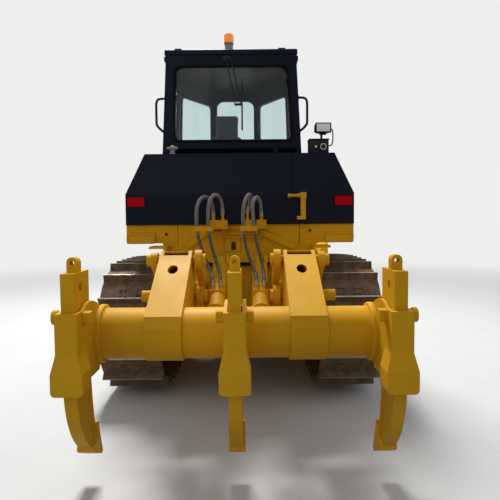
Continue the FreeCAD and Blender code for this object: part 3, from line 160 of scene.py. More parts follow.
def footing(node):
    """A frame at the middle of a node's foot, with half the node's width and its height."""
    low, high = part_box(node)
    place = Matrix.Translation(((low[0] + high[0]) / 2, (low[1] + high[1]) / 2, low[2]))
    return place, (high[0] - low[0]) / 2, high[2] - low[2]


def new_curve(kind, points):
    """A curve of one spline with its points, and the spline."""
    curve = bpy.data.curves.new("route", "CURVE")
    curve.dimensions = "3D"
    spline = curve.splines.new(kind)
    spline.points.add(len(points) - 1)
    for place, point in zip(spline.points, points):
        place.co = (*point, 1.0)
    return curve, spline


def mesh_of(curve):
    """The mesh that a curve gives. The curve is removed."""
    holder = bpy.data.objects.new("route", curve)
    mesh = bpy.data.meshes.new_from_object(holder)
    bpy.data.objects.remove(holder)
    bpy.data.curves.remove(curve)
    return mesh


class Shape:
    """One piece while it is being modelled, to which closed shapes are added."""

    def __init__(self):
        self.bm = bmesh.new()

    def add(self, part, place=None, finish=0):
        """Adds a shape and frees it."""
        bmesh.ops.recalc_face_normals(part, faces=part.faces)
        if place is not None:
            part.transform(place)
        for face in part.faces:
            face.material_index = finish
        mesh = bpy.data.meshes.new("part")
        part.to_mesh(mesh)
        part.free()
        self.bm.from_mesh(mesh)
        bpy.data.meshes.remove(mesh)

    def box(self, low, high, edge=0.0, place=None, finish=0, segments=2):
        """A box between two corners, with its edges rounded."""
        low, high = Vector(low), Vector(high)
        part = bmesh.new()
        scale = Matrix.Diagonal((*(high - low), 1.0))
        bmesh.ops.create_cube(part, size=1.0, matrix=Matrix.Translation((low + high) / 2) @ scale)
        self.round_edges(part, edge, segments)
        self.add(part, place, finish)

    def blocks(self, rows):
        """Boxes from rows of two corners, measured from the sprocket axle, and the width of the edges."""
        for *corners, edge in rows:
            self.box(at(*corners[:3]), at(*corners[3:]), edge)

    def bar(self, start, end, wide, thick, up, edge=0.0):
        """A flat bar from start to end, thick along up."""
        start, end = Vector(start), Vector(end)
        along = (end - start).normalized()
        across = Vector(up).cross(along).normalized()
        turn = Matrix((across, along.cross(across), along)).transposed().to_4x4()
        half = (end - start).length / 2
        place = Matrix.Translation((start + end) / 2) @ turn
        self.box((-wide / 2, -thick / 2, -half), (wide / 2, thick / 2, half), edge, place)

    def rod(self, start, end, radius, end_radius=None, edge=0.0, sides=24):
        """A round bar, or a cone, between two points."""
        part = bmesh.new()
        last = radius if end_radius is None else end_radius
        length = (Vector(end) - Vector(start)).length
        bmesh.ops.create_cone(part, cap_ends=True, segments=sides, radius1=radius, radius2=last,
                              depth=length)
        self.round_edges(part, edge, 2, CORNER)
        self.add(part, between(start, end))

    def turned(self, outline, place, sides=32, finish=0):
        """Spins an outline of (radius, height) points round its own Z."""
        part = bmesh.new()
        verts = [part.verts.new((radius, 0.0, height)) for radius, height in outline]
        edges = [part.edges.new(pair) for pair in zip(verts, verts[1:])]
        bmesh.ops.spin(part, geom=verts + edges, cent=(0, 0, 0), axis=(0, 0, 1), angle=math.tau, steps=sides,
                       use_merge=True)
        bmesh.ops.remove_doubles(part, verts=part.verts, dist=MERGE)
        self.add(part, place, finish)

    def slab(self, outline, thick, place, edge, segments):
        """A flat plate from an outline of (x, y) points, thick along its own Z."""
        part = bmesh.new()
        face = part.faces.new([part.verts.new((x, y, 0.0)) for x, y in outline])
        raised = bmesh.ops.extrude_face_region(part, geom=[face])["geom"]
        moved = [v for v in raised if isinstance(v, bmesh.types.BMVert)]
        bmesh.ops.translate(part, vec=(0, 0, thick), verts=moved)
        self.round_edges(part, edge, segments, CORNER)
        self.add(part, place)

    def tube(self, points, radius, sides=12, closed=False, smooth=True):
        """A round tube that follows points, with its ends closed."""
        curve, spline = new_curve("NURBS" if smooth else "POLY", points)
        curve.bevel_depth = radius
        curve.bevel_resolution = max(sides // 4, 1)
        curve.use_fill_caps = not closed
        spline.use_cyclic_u = closed
        if smooth:
            spline.order_u = 3
            spline.use_endpoint_u = True
            spline.resolution_u = 6
        mesh = mesh_of(curve)
        part = bmesh.new()
        part.from_mesh(mesh)
        bpy.data.meshes.remove(mesh)
        bmesh.ops.remove_doubles(part, verts=part.verts, dist=MERGE)
        self.add(part)

    @staticmethod
    def round_edges(part, size, segments, sharper=0.1):
        """Bevels the edges that turn by more than an angle."""
        if size <= 0:
            return
        edges = [edge for edge in part.edges
                 if len(edge.link_faces) == 2 and abs(edge.calc_face_angle(0.0)) > sharper]
        bmesh.ops.bevel(part, geom=edges, offset=size, offset_type="OFFSET", affect="EDGES",
                        segments=segments, profile=0.5, material=-1, clamp_overlap=True)

    def piece(self, name, finishes, slot, body=TRACTOR, crease=34.0):
        """Makes the object, shaded smooth up to an angle, and lets it ride on its body."""
        for face in self.bm.faces:
            face.smooth = True
        for edge in self.bm.edges:
            edge.smooth = len(edge.link_faces) == 2 and edge.calc_face_angle(0.0) < math.radians(crease)
        mesh = bpy.data.meshes.new(name)
        self.bm.to_mesh(mesh)
        self.bm.free()
        for finish in finishes:
            mesh.materials.append(material(finish))
        made = bpy.data.objects.new(name, mesh)
        bpy.context.scene.collection.objects.link(made)
        if body is not None:
            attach(made, body)
        return made


def route_points(points):
    """Points read from a smooth NURBS line whose control points are given."""
    curve, spline = new_curve("NURBS", points)
    spline.order_u = 3
    spline.use_endpoint_u = True
    spline.resolution_u = 10
    mesh = mesh_of(curve)
    read = [v.co.copy() for v in mesh.vertices]
    bpy.data.meshes.remove(mesh)
    return read


# Materials


def feed(tree, sockets, values):
    """Gives sockets their values, or links them."""
    for key, value in values.items():
        if isinstance(value, bpy.types.NodeSocket):
            tree.links.new(value, sockets[key])
        else:
            sockets[key].default_value = value


def put_node(tree, kind, inputs=None, **settings):
    """Adds a node, with its settings and with values or links for its inputs."""
    made = tree.nodes.new(kind)
    for key, value in settings.items():
        setattr(made, key, value)
    feed(tree, made.inputs, inputs or {})
    return made


def new_group(name, inputs, output):
    """An empty shader group with named float inputs and one output."""
    tree = bpy.data.node_groups.new(name, "ShaderNodeTree")
    for key, value in inputs.items():
        tree.interface.new_socket(key, in_out="INPUT", socket_type="NodeSocketFloat").default_value = value
    tree.interface.new_socket(output, in_out="OUTPUT", socket_type="NodeSocketFloat")
    return tree, put_node(tree, "NodeGroupInput").outputs, put_node(tree, "NodeGroupOutput").inputs


def math_node(tree, operation, *values, clamp=False):
    """A Math node's result."""
    return put_node(tree, "ShaderNodeMath", dict(enumerate(values)), operation=operation,
                    use_clamp=clamp).outputs[0]


def own_place(tree):
    """Where a point is in its object."""
    return put_node(tree, "ShaderNodeTexCoord").outputs["Object"]


def part_of(tree, vector, axis):
    """One part of a vector."""
    return put_node(tree, "ShaderNodeSeparateXYZ", {0: vector}).outputs[axis]


def noise(tree, where, scale, detail, rough=0.5):
    """Noise between 0 and 1."""
    return put_node(tree, "ShaderNodeTexNoise", {"Vector": where, "Scale": scale, "Detail": detail,
                                                 "Roughness": rough}).outputs[0]


def bands(tree, where, scale, way, bend=0.0, detail=2.0):
    """Bands across one of the object's own axes."""
    inputs = {"Vector": where, "Scale": scale, "Distortion": bend, "Detail": detail}
    return put_node(tree, "ShaderNodeTexWave", inputs, wave_type="BANDS", bands_direction=way).outputs["Fac"]


def levels(tree, value, low, high, **settings):
    """A value between two levels, spread over 0 to 1."""
    inputs = {"Value": value, "From Min": low, "From Max": high}
    return put_node(tree, "ShaderNodeMapRange", inputs, clamp=True, **settings).outputs[0]


def group_patches():
    """Soft patches: a mask from noise between two levels."""
    inputs = {"Scale": 3.0, "Low": 0.4, "High": 0.7, "Stretch": 1.0}
    tree, given, out = new_group("Soft patches", inputs, "Mask")
    x, y, z = (part_of(tree, own_place(tree), axis) for axis in range(3))
    tall = math_node(tree, "MULTIPLY", z, given["Stretch"])
    place = put_node(tree, "ShaderNodeCombineXYZ", {0: x, 1: y, 2: tall}).outputs[0]
    cloud = noise(tree, place, given["Scale"], 6.0, 0.6)
    feed(tree, out, {"Mask": levels(tree, cloud, given["Low"], given["High"])})
    return tree


def group_edges():
    """Edge wear: a mask of edges, broken up by noise."""
    tree, given, out = new_group("Edge wear", {"Width": 0.008, "Amount": 0.5, "Scale": 22.0}, "Mask")
    eased = put_node(tree, "ShaderNodeBevel", {"Radius": given["Width"]}, samples=6).outputs[0]
    flat = put_node(tree, "ShaderNodeNewGeometry").outputs["Normal"]
    alike = put_node(tree, "ShaderNodeVectorMath", {0: eased, 1: flat}, operation="DOT_PRODUCT")
    edge = levels(tree, math_node(tree, "SUBTRACT", 1.0, alike.outputs["Value"]), 0.02, 0.16)
    cloud = noise(tree, own_place(tree), given["Scale"], 5.0, 0.65)
    limit = math_node(tree, "SUBTRACT", 1.0, given["Amount"])
    broken = levels(tree, cloud, limit, math_node(tree, "ADD", limit, 0.12))
    feed(tree, out, {"Mask": math_node(tree, "MULTIPLY", edge, broken, clamp=True)})
    return tree


def group_dust():
    """Dust: a mask on faces that look up and near the ground, in uneven patches."""
    tree, given, out = new_group("Dust", {"Amount": 0.5, "Low": 0.0, "High": 1.4, "Scale": 5.0}, "Mask")
    normal = put_node(tree, "ShaderNodeNewGeometry").outputs["Normal"]
    up = levels(tree, part_of(tree, normal, 2), 0.25, 0.95)
    where = own_place(tree)
    low = levels(tree, part_of(tree, where, 2), given["High"], given["Low"])
    patch = levels(tree, noise(tree, where, given["Scale"], 8.0, 0.65), 0.42, 0.62)
    near = math_node(tree, "MULTIPLY", low, math_node(tree, "MULTIPLY_ADD", patch, 0.6, 0.5))
    top = math_node(tree, "MULTIPLY", up, patch)
    both = math_node(tree, "ADD", near, math_node(tree, "MULTIPLY", top, 0.55))
    feed(tree, out, {"Mask": math_node(tree, "MULTIPLY", both, given["Amount"], clamp=True)})
    return tree


def group_grain():
    """Fine grain: a height for a bump, from two sizes of noise."""
    tree, given, out = new_group("Fine grain", {"Scale": 60.0, "Coarse": 0.4}, "Height")
    where = own_place(tree)
    fine = noise(tree, where, given["Scale"], 4.0)
    wide = noise(tree, where, math_node(tree, "MULTIPLY", given["Scale"], 0.12), 3.0)
    coarse = math_node(tree, "MULTIPLY", wide, given["Coarse"])
    feed(tree, out, {"Height": math_node(tree, "ADD", fine, coarse)})
    return tree


def group_weave():
    """Weave: threads that cross along the object's own axes."""
    tree, given, out = new_group("Weave", {"Scale": 420.0}, "Height")
    where = own_place(tree)
    x, y, z = (bands(tree, where, given["Scale"], way, 0.6, 1.0) for way in "XYZ")
    feed(tree, out, {"Height": math_node(tree, "MAXIMUM", math_node(tree, "MULTIPLY", x, z), y)})
    return tree


GROUPS = {}
MATERIALS = {}


def group(tree, name, **values):
    """Places a shared group in a material and returns its result."""
    return put_node(tree, "ShaderNodeGroup", values, node_tree=GROUPS[name]).outputs[0]


def patches(tree, scale, low, high, stretch=1.0):
    """A mask of soft patches."""
    return group(tree, "patches", Scale=scale, Low=low, High=high, Stretch=stretch)


def blend_colour(tree, mask, *colours):
    """Mixes two colours by a mask."""
    first, second = (part if isinstance(part, bpy.types.NodeSocket) else (*part, 1.0) for part in colours)
    inputs = {"Factor": mask, 6: first, 7: second}
    return put_node(tree, "ShaderNodeMix", inputs, data_type="RGBA").outputs[2]


def blend_value(tree, mask, first, second):
    """Mixes two values by a mask."""
    inputs = {"Factor": mask, 2: first, 3: second}
    return put_node(tree, "ShaderNodeMix", inputs, data_type="FLOAT").outputs[0]


def new_material(name):
    """An empty material, its tree and the inputs of its Principled shader."""
    made = bpy.data.materials.new(name)
    made.use_nodes = True
    return made, made.node_tree, made.node_tree.nodes["Principled BSDF"].inputs


def scaled(colour, by):
    """A colour made darker or lighter."""
    return tuple(min(part * by, 1.0) for part in colour)


def bump(tree, height, strength, distance):
    """A normal bumped by a height."""
    inputs = {"Height": height, "Strength": strength, "Distance": distance}
    return put_node(tree, "ShaderNodeBump", inputs).outputs[0]


def paint(name, colour, rough, dust, gloss, chip=(0.10, 0.085, 0.07), chips=0.42, dust_high=1.5, grain=90.0,
          width=0.008, fade=0.82):
    """Sprayed paint with faded patches, chipped edges, dust low down and a slight orange peel."""
    made, tree, sockets = new_material(name)
    settings = bpy.context.scene.dozer_paint
    faded = patches(tree, 1.7, 0.38, 0.68, 0.5)
    powder = group(tree, "dust", Amount=dust * settings.dust_amount * 2, Low=0.1, High=dust_high, Scale=4.0)
    worn = group(tree, "edges", Width=width, Amount=chips, Scale=26.0)
    body = blend_colour(tree, powder, blend_colour(tree, faded, colour, scaled(colour, fade)),
                        tuple(settings.dust))
    finish = blend_value(tree, powder, blend_value(tree, faded, rough, rough + 0.10), 0.85)
    feed(tree, sockets, {
        "Base Color": blend_colour(tree, worn, body, chip),
        "Roughness": blend_value(tree, worn, finish, 0.6),
        "IOR": 1.5,
        "Specular IOR Level": gloss,
        "Normal": bump(tree, group(tree, "grain", Scale=grain, Coarse=0.6), 0.10, 0.0015),
    })
    return made


def steel(name, colour, dark, rough, scale, metal, dust, dust_high=1.2, strength=0.35):
    """Bare or rusty steel: two tones in patches, soil low down and a rough skin."""
    made, tree, sockets = new_material(name)
    small = patches(tree, scale, 0.36, 0.66)
    wide = patches(tree, scale * 0.2, 0.35, 0.7)
    body = blend_colour(tree, wide, blend_colour(tree, small, dark, colour), scaled(dark, 1.5))
    powder = group(tree, "dust", Amount=dust, Low=0.0, High=dust_high, Scale=7.0)
    feed(tree, sockets, {
        "Base Color": blend_colour(tree, powder, body, tuple(bpy.context.scene.dozer_paint.dust)),
        "Roughness": blend_value(tree, powder, blend_value(tree, small, rough + 0.15, rough), 0.9),
        "Metallic": blend_value(tree, powder, blend_value(tree, small, metal * 0.6, metal), 0.0),
        "Normal": bump(tree, group(tree, "grain", Scale=45.0, Coarse=1.2), strength, 0.004),
    })
    return made


def plastic(name, colour, rough=0.55, grain=260.0, strength=0.12, dust=0.25, tone=1.35, gloss=0.5):
    """Moulded plastic, rubber or a small smooth fitting, with a slight grain and a little dust."""
    made, tree, sockets = new_material(name)
    mottle = patches(tree, 9.0, 0.35, 0.7)
    body = blend_colour(tree, mottle, colour, scaled(colour, tone))
    powder = group(tree, "dust", Amount=dust, Low=0.0, High=1.2, Scale=9.0)
    feed(tree, sockets, {
        "Base Color": blend_colour(tree, powder, body, scaled(bpy.context.scene.dozer_paint.dust, 0.8)),
        "Roughness": blend_value(tree, mottle, rough, rough + 0.12),
        "Specular IOR Level": gloss,
        "Normal": bump(tree, group(tree, "grain", Scale=grain, Coarse=0.3), strength, 0.001),
    })
    return made


def glass(name, colour):
    """Tinted window glass with a thin film of dust."""
    made, tree, sockets = new_material(name)
    film = patches(tree, 3.0, 0.45, 0.85)
    feed(tree, sockets, {
        "Base Color": blend_colour(tree, film, colour, scaled(colour, 0.93)),
        "Roughness": blend_value(tree, film, 0.02, 0.07),
        "Transmission Weight": 0.985,
        "IOR": 1.2,
    })
    return made


def lens(name, colour, ribs, rough, glow, coat=0.6, gloss=0.5):
    """A moulded lens with fine ribs under its skin."""
    made, tree, sockets = new_material(name)
    where = own_place(tree)
    ribbed = math_node(tree, "MULTIPLY", *(bands(tree, where, ribs, way) for way in "XZ"))
    feed(tree, sockets, {
        "Base Color": blend_colour(tree, ribbed, colour, scaled(colour, 1.5)),
        "Roughness": blend_value(tree, ribbed, rough, rough + 0.1),
        "Coat Weight": coat,
        "Specular IOR Level": gloss,
        "Normal": bump(tree, ribbed, 0.25, 0.001),
    })
    if glow:
        feed(tree, sockets, {"Emission Color": blend_colour(tree, ribbed, colour, scaled(colour, 1.3)),
                             "Emission Strength": glow})
    return made


def cloth(name, colour):
    """Woven seat cloth."""
    made, tree, sockets = new_material(name)
    threads = group(tree, "weave", Scale=120.0)
    body = blend_colour(tree, threads, scaled(colour, 0.6), scaled(colour, 1.3))
    feed(tree, sockets, {
        "Base Color": blend_colour(tree, patches(tree, 6.0, 0.3, 0.7), body, colour),
        "Roughness": blend_value(tree, threads, 0.95, 0.8),
        "Sheen Weight": 0.25,
        "Normal": bump(tree, threads, 0.35, 0.001),
    })
    return made


def braided(name, colour):
    """A hose's wrapped cover, with bands that cross along the object's own Y and Z."""
    made, tree, sockets = new_material(name)
    where = own_place(tree)
    wrap = math_node(tree, "MULTIPLY", *(bands(tree, where, 38.0, way, 1.0) for way in "ZY"))
    mottle = patches(tree, 12.0, 0.35, 0.7)
    body = blend_colour(tree, wrap, colour, scaled(colour, 0.55))
    feed(tree, sockets, {
        "Base Color": blend_colour(tree, mottle, body, scaled(colour, 1.25)),
        "Roughness": blend_value(tree, mottle, 0.75, 0.9),
        "Normal": bump(tree, wrap, 0.5, 0.002),
    })
    return made


def material(name):
    """A finish of this machine, by name."""
    return MATERIALS[name]


def build_materials():
    """Makes the shared groups and then every finish."""
    GROUPS.update(patches=group_patches(), edges=group_edges(), dust=group_dust(), grain=group_grain(),
                  weave=group_weave())
    colours = bpy.context.scene.dozer_paint
    MATERIALS.update({
        "yellow": paint("yellow_paint", tuple(colours.yellow), 0.44, 0.06, 0.10),
        "navy": paint("navy_paint", tuple(colours.navy), 0.36, 0.03, 0.08, (0.03, 0.032, 0.036), 0.25, 2.4,
                      70.0, 0.004, 1.5),
        "black": paint("black_paint", tuple(colours.black), 0.45, 0.06, 0.15, (0.05, 0.048, 0.045), 0.20,
                       2.0, width=0.0012),
        "track": steel("track_steel", (0.195, 0.124, 0.058), (0.074, 0.045, 0.020), 0.70, 14.0, 0.1, 0.20),
        "worn": steel("worn_steel", (0.24, 0.215, 0.19), (0.11, 0.092, 0.078), 0.45, 20.0, 0.5, 0.3),
        "bright": steel("bright_wear", (0.52, 0.46, 0.38), (0.30, 0.25, 0.20), 0.38, 26.0, 0.6, 0.1),
        "chrome": steel("chrome_rod", (0.74, 0.74, 0.76), (0.60, 0.60, 0.62), 0.10, 30.0, 1.0, 0.1, 0.8,
                        0.03),
        "zinc": steel("zinc_fitting", (0.34, 0.29, 0.19), (0.18, 0.145, 0.09), 0.38, 60.0, 0.7, 0.1, 0.8,
                      0.10),
        "glass": glass("window_glass", (0.80, 0.90, 0.90)),
        "red": lens("red_lens", (0.44, 0.002, 0.006), 110.0, 0.3, 0.0, 0.0, 0.05),
        "amber": lens("amber_lens", (0.88, 0.25, 0.006), 60.0, 0.25, 0.40, 0.08),
        "reflector": lens("lamp_reflector", (0.66, 0.67, 0.66), 60.0, 0.10, 0.05),
        "cloth": cloth("seat_cloth", (0.040, 0.040, 0.044)),
        "plastic": plastic("cab_plastic", (0.055, 0.055, 0.060)),
        "lining": plastic("cab_lining", (0.30, 0.30, 0.29), 0.8, 120.0, 0.2, 0.0, 1.1),
        "marking": plastic("dial_marking", (0.55, 0.56, 0.56), 0.5, 120.0, 0.1, 0.0),
        # Near-black finish, used for the dark panel joints and for the painted shadow strip under the cab.
        "dark": plastic("dark_joint_and_painted_shadow", (0.003, 0.003, 0.003), 0.9, 120.0, 0.1, 0.0, gloss=0.0),
        "rubber": plastic("hose_rubber", (0.016, 0.016, 0.017), 0.38, 300.0, 0.15, 0.15),
        "seal": plastic("window_seal", (0.004, 0.004, 0.005), 0.70, 300.0, 0.10, 0.0, gloss=0.08),
        "sleeve": braided("hose_sleeve", (0.175, 0.162, 0.162)),
    })


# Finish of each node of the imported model, by its name
NODE_FINISHES = {
    "track": ("track_left", "track_right", "sprockets", "idlers", "track_rollers"),
    "worn": ("cutting_edge",),
    "navy": ("cab_frame", "cab_rear_wall", "cab_roof", "door_left", "door_right", "fuel_tank",
             "cab_handles"),
    "glass": ("door_glass_left", "door_glass_right", "front_windows", "rear_window"),
    "black": ("exhaust_pipe", "air_precleaner", "filler_cap", "work_lamp", "radiator", "grille",
              "engine_block"),
    "plastic": ("cab_floor", "cab_interior"),
    "chrome": ("lift_rods", "ripper_rods"),
    "red": ("reflectors",),
    "amber": ("beacon",),
    "rubber": ("hose_1", "hose_2", "hose_3", "hose_4"),
    "cloth": ("seat",),
}


def dress_nodes():
    """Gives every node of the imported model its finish."""
    finish_of = {node: finish for finish, nodes in NODE_FINISHES.items() for node in nodes}
    for name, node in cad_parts.items():
        finish = material(finish_of.get(name, "yellow"))
        if not node.material_slots:
            node.data.materials.append(finish)
        for slot in node.material_slots:
            slot.material = finish


# Hoses: control points from the sprocket axle, in metres

HOSES = {
    "hose_1": [
        (-0.238, -0.405, 1.712), (-0.238, -0.405, 1.812), (-0.275, -0.468, 1.885), (-0.327, -0.557, 1.885),
        (-0.364, -0.620, 1.812), (-0.371, -0.628, 1.712), (-0.368, -0.622, 1.604), (-0.352, -0.624, 1.505),
        (-0.309, -0.676, 1.392), (-0.262, -0.770, 1.305), (-0.232, -0.868, 1.248), (-0.213, -0.958, 1.215),
        (-0.208, -1.000, 1.148),
    ],
    "hose_2": [
        (-0.155, -0.405, 1.734), (-0.155, -0.405, 1.832), (-0.186, -0.468, 1.902), (-0.231, -0.557, 1.902),
        (-0.262, -0.620, 1.832), (-0.270, -0.628, 1.728), (-0.266, -0.622, 1.604), (-0.254, -0.624, 1.500),
        (-0.220, -0.680, 1.386), (-0.184, -0.772, 1.302), (-0.160, -0.872, 1.246), (-0.147, -0.962, 1.216),
        (-0.145, -1.002, 1.150),
    ],
    "hose_3": [
        (0.070, -0.402, 1.752), (0.090, -0.404, 1.836), (0.104, -0.468, 1.902), (0.076, -0.557, 1.902),
        (0.044, -0.620, 1.836), (0.030, -0.628, 1.730), (0.034, -0.622, 1.604), (0.044, -0.624, 1.500),
        (0.070, -0.680, 1.388), (0.108, -0.772, 1.304), (0.130, -0.872, 1.248), (0.140, -0.962, 1.216),
        (0.142, -1.002, 1.150),
    ],
    "hose_4": [
        (0.195, -0.405, 1.716), (0.195, -0.405, 1.811), (0.171, -0.468, 1.878), (0.136, -0.557, 1.878),
        (0.112, -0.620, 1.811), (0.117, -0.630, 1.712), (0.128, -0.622, 1.604), (0.142, -0.624, 1.505),
        (0.172, -0.676, 1.392), (0.192, -0.770, 1.306), (0.201, -0.870, 1.248), (0.203, -0.960, 1.214),
        (0.202, -1.000, 1.148),
    ],
}
CLAMP_POINT = 6  # the point of each hose that its clamp holds
SLEEVE_PAST = 6  # how many of the line's points the sleeve goes on past the clamp


def hose_fitting(name, start, toward, body):
    """A crimped end fitting at the end of a hose."""
    fitting = Shape()
    way = (Vector(toward) - Vector(start)).normalized()
    place = Matrix.Translation(start) @ way.to_track_quat("Z", "Y").to_matrix().to_4x4()
    outline = [(0.0, -0.004), (0.015, -0.004), (0.0195, 0.0), (0.0195, 0.014), (0.0175, 0.016),
               (0.0175, 0.034), (0.0185, 0.036), (0.0185, 0.048), (0.0140, 0.052), (0.0, 0.052)]
    fitting.turned(outline, place, 16)
    return fitting.piece(name, ["zinc"], "hose_rubber", body)


def build_hoses(settings):
    """Four ripper hoses, each a mesh tube with a sleeve down to its clamp and crimped ends."""
    for name, points in HOSES.items():
        control = [at(*point) for point in points]
        line = route_points(control)
        clamp = control[CLAMP_POINT]
        split = min(range(len(line)), key=lambda i: (line[i] - clamp).length)
        cover = Shape()
        cover.tube(line[2:split + SLEEVE_PAST], settings.sleeve, 16, smooth=False)
        cover = cover.piece(name + "_sleeve", ["sleeve"], "hose_rubber")
        ends = [hose_fitting(name + "_top_end", line[0], line[4], TRACTOR),
                hose_fitting(name + "_port_end", line[-1], line[-5], "ripper_barrels")]
        hose = Shape()
        hose.tube(line, settings.radius, 16, smooth=False)
        hose = hose.piece(name + "_tube", ["rubber"], "hose_rubber", None)
        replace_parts(hose, name)
        length = sum((b - a).length for a, b in zip(line, line[1:]))
        tuple(control[0])
        tuple(clamp)
        tuple(control[-1])
        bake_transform(hose)


# Cab


def rounded(outline, radius):
    """An outline of (x, z) points with each corner turned by an arc of five steps."""
    points = []
    for i, corner in enumerate(outline):
        corner = Vector(corner)
        back = (Vector(outline[i - 1]) - corner).normalized()
        on = (Vector(outline[(i + 1) % len(outline)]) - corner).normalized()
        half = back.angle(on) / 2
        reach = radius / math.tan(half)
        centre = corner + (back + on).normalized() * radius / math.sin(half)
        first, last = corner + back * reach - centre, corner + on * reach - centre
        points += [centre + first.slerp(last, k / 5).normalized() * radius for k in range(6)]
    return points


REAR_WINDOW = ((-0.675, 2.487), (0.540, 2.487), (0.486, 3.236), (-0.650, 3.236))
REAR_WINDOW_CORNER = 0.060
CAB_REAR = 0.200  # how far the rear wall's face is ahead of the sprocket axle
SEAL_DEPTH = 0.55  # the seal's depth, as a share of its width


def build_window_seal(settings):
    """The rubber seal round the rear window."""
    seal = Shape()
    loop = [at(x, CAB_REAR, z) for x, z in rounded(REAR_WINDOW, REAR_WINDOW_CORNER)]
    seal.tube(loop, settings.seal / 2, closed=True, smooth=False)
    wall = Matrix.Translation(at(0, CAB_REAR, 0))
    seal.bm.transform(wall @ Matrix.Diagonal((1, SEAL_DEPTH, 1, 1)) @ wall.inverted())
    seal.piece("rear_window_seal", ["seal"], "dark_paint")


def build_wiper():
    """The rear wiper, with its twin arms and its blade."""
    wiper = Shape()
    out = CAB_REAR - 0.035
    wiper.rod(at(-0.125, CAB_REAR + 0.002, 3.305), at(-0.125, out, 3.305), 0.020, 0.016, 0.003)
    wiper.blocks([(-0.165, CAB_REAR - 0.014, 3.275, -0.085, CAB_REAR + 0.002, 3.335, 0.006)])
    wiper.tube([at(-0.135, out, 3.305), at(-0.090, out, 3.080), at(-0.046, out, 2.845)], 0.0055, 8)
    wiper.tube([at(-0.085, out, 3.300), at(-0.035, out, 3.080), at(0.010, out, 2.845)], 0.0045, 8)
    wiper.blocks([(-0.056, out - 0.006, 2.833, 0.030, out + 0.006, 2.857, 0.004),
                  (0.014, out - 0.002, 2.590, 0.030, out + 0.012, 3.095, 0.003),
                  (0.018, out + 0.010, 2.585, 0.026, CAB_REAR + 0.010, 3.100, 0.002)])
    wiper.piece("rear_wiper", ["black"], "dark_paint")


def build_handles(settings):
    """Rounded grab rails at the cab's rear corners, on small feet."""
    rails = Shape()
    y = CAB_REAR + 0.060
    for side, high_wall, low_wall, out in ((-1, -0.764, -0.782, -0.860), (1, 0.594, 0.612, 0.690)):
        loop = [(high_wall, 2.930), (out - side * 0.030, 2.935), (out, 2.900), (out, 2.820), (out, 2.720),
                (out, 2.645), (low_wall, 2.590)]
        rails.tube([at(x, y, z) for x, z in loop], settings.handle, 16)
        for z, wall in ((2.590, low_wall), (2.930, high_wall)):
            rails.rod(at(wall - side * 0.006, y, z), at(wall + side * 0.010, y, z), 0.026, 0.024, 0.003)
    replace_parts(rails.piece("grab_rails", ["black"], "dark_paint"), "cab_handles")


def build_lamp():
    """The rear work lamp on its stalk, and the switch box with its dial."""
    lamp = Shape()
    lamp.blocks([(0.664, -0.136, 2.300, 0.851, 0.006, 2.440, 0.010),
                 (0.660, -0.140, 2.434, 0.855, 0.010, 2.449, 0.006),
                 (0.668, -0.1395, 2.312, 0.847, -0.133, 2.426, 0.004)])
    lamp.rod(at(0.790, -0.060, 2.447), at(0.790, -0.060, 2.516), 0.011, edge=0.002)
    lamp.rod(at(0.790, -0.060, 2.447), at(0.790, -0.060, 2.456), 0.026, 0.022, 0.002)
    lamp.blocks([(0.770, -0.085, 2.496, 0.834, -0.040, 2.512, 0.004)])
    lamp.box(at(0.727, -0.104, 2.510), at(0.876, -0.024, 2.603), 0.022, segments=4)
    lamp.box(at(0.724, -0.118, 2.508), at(0.879, -0.096, 2.605), 0.010, segments=3)
    for k in range(5):
        y = -0.085 + 0.014 * k
        lamp.blocks([(0.7245, y, 2.522, 0.8785, y + 0.005, 2.592, 0.002)])
    dial = facing_rear(at(0.797, -0.135, 2.372))
    face = [(0.0, 0.0), (0.034, 0.0), (0.034, 0.010), (0.016, 0.012), (0.014, 0.022), (0.0, 0.024)]
    ring = [(0.024, 0.009), (0.031, 0.009), (0.031, 0.013), (0.024, 0.013), (0.024, 0.009)]
    lamp.turned(face, dial, 28)
    lamp.turned(ring, dial, 28, 2)
    for k in range(14):
        turn = dial @ Matrix.Rotation(math.tau * k / 14, 4, "Z")
        lamp.box((0.033, -0.004, 0.0), (0.041, 0.004, 0.011), 0.001, turn)
        if k % 2:
            lamp.box((0.016, -0.002, 0.010), (0.024, 0.002, 0.0135), 0.0005, turn, 2)
    small = facing_rear(at(0.726, -0.135, 2.372))
    rim = [(0.0, 0.0), (0.018, 0.0), (0.018, 0.008), (0.014, 0.010), (0.013, 0.008), (0.0, 0.007)]
    lamp.turned(rim, small, 20)
    lamp.turned([(0.0, 0.006), (0.013, 0.006), (0.010, 0.011), (0.0, 0.013)], small, 20, 1)
    lamp.box(at(0.738, -0.1195, 2.520), at(0.865, -0.1165, 2.593), 0.002, finish=1)
    cable = [(0.845, -0.05, 2.390), (0.880, -0.05, 2.390), (0.902, -0.05, 2.420), (0.904, -0.05, 2.510),
             (0.896, -0.055, 2.550), (0.872, -0.060, 2.560)]
    lamp.tube([at(*point) for point in cable], 0.006, 8)
    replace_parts(lamp.piece("lamp_and_box", ["black", "reflector", "marking"], "black_paint"), "work_lamp")


def build_beacon():
    """The amber beacon with a ribbed dome on its base."""
    place, wide, tall = footing("beacon")
    foot, top = 0.50 * tall, 0.93 * tall
    base = Shape()
    outline = ((0.0, 0.0), (0.90, 0.0), (0.90, 0.16), (0.80, 0.24), (0.80, 0.80), (0.92, 0.86), (0.92, 1.0),
               (0.0, 1.0))
    base.turned([(wide * out, foot * up) for out, up in outline], place)
    base.piece("beacon_base", ["lining"], "amber_lens")
    ribs = [(0.0, foot)]
    for k in range(5):
        z = foot + (top - foot) * 0.165 * k
        ribs += [(wide * 0.94, z), (wide * 0.98, z + (top - foot) * 0.08)]
    ribs += [(wide * 0.95, top * 0.94), (wide * 0.84, top * 0.985), (wide * 0.60, top), (0.0, top)]
    dome = Shape()
    dome.turned(ribs, place)
    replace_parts(dome.piece("beacon_dome", ["amber"], "amber_lens"), "beacon")


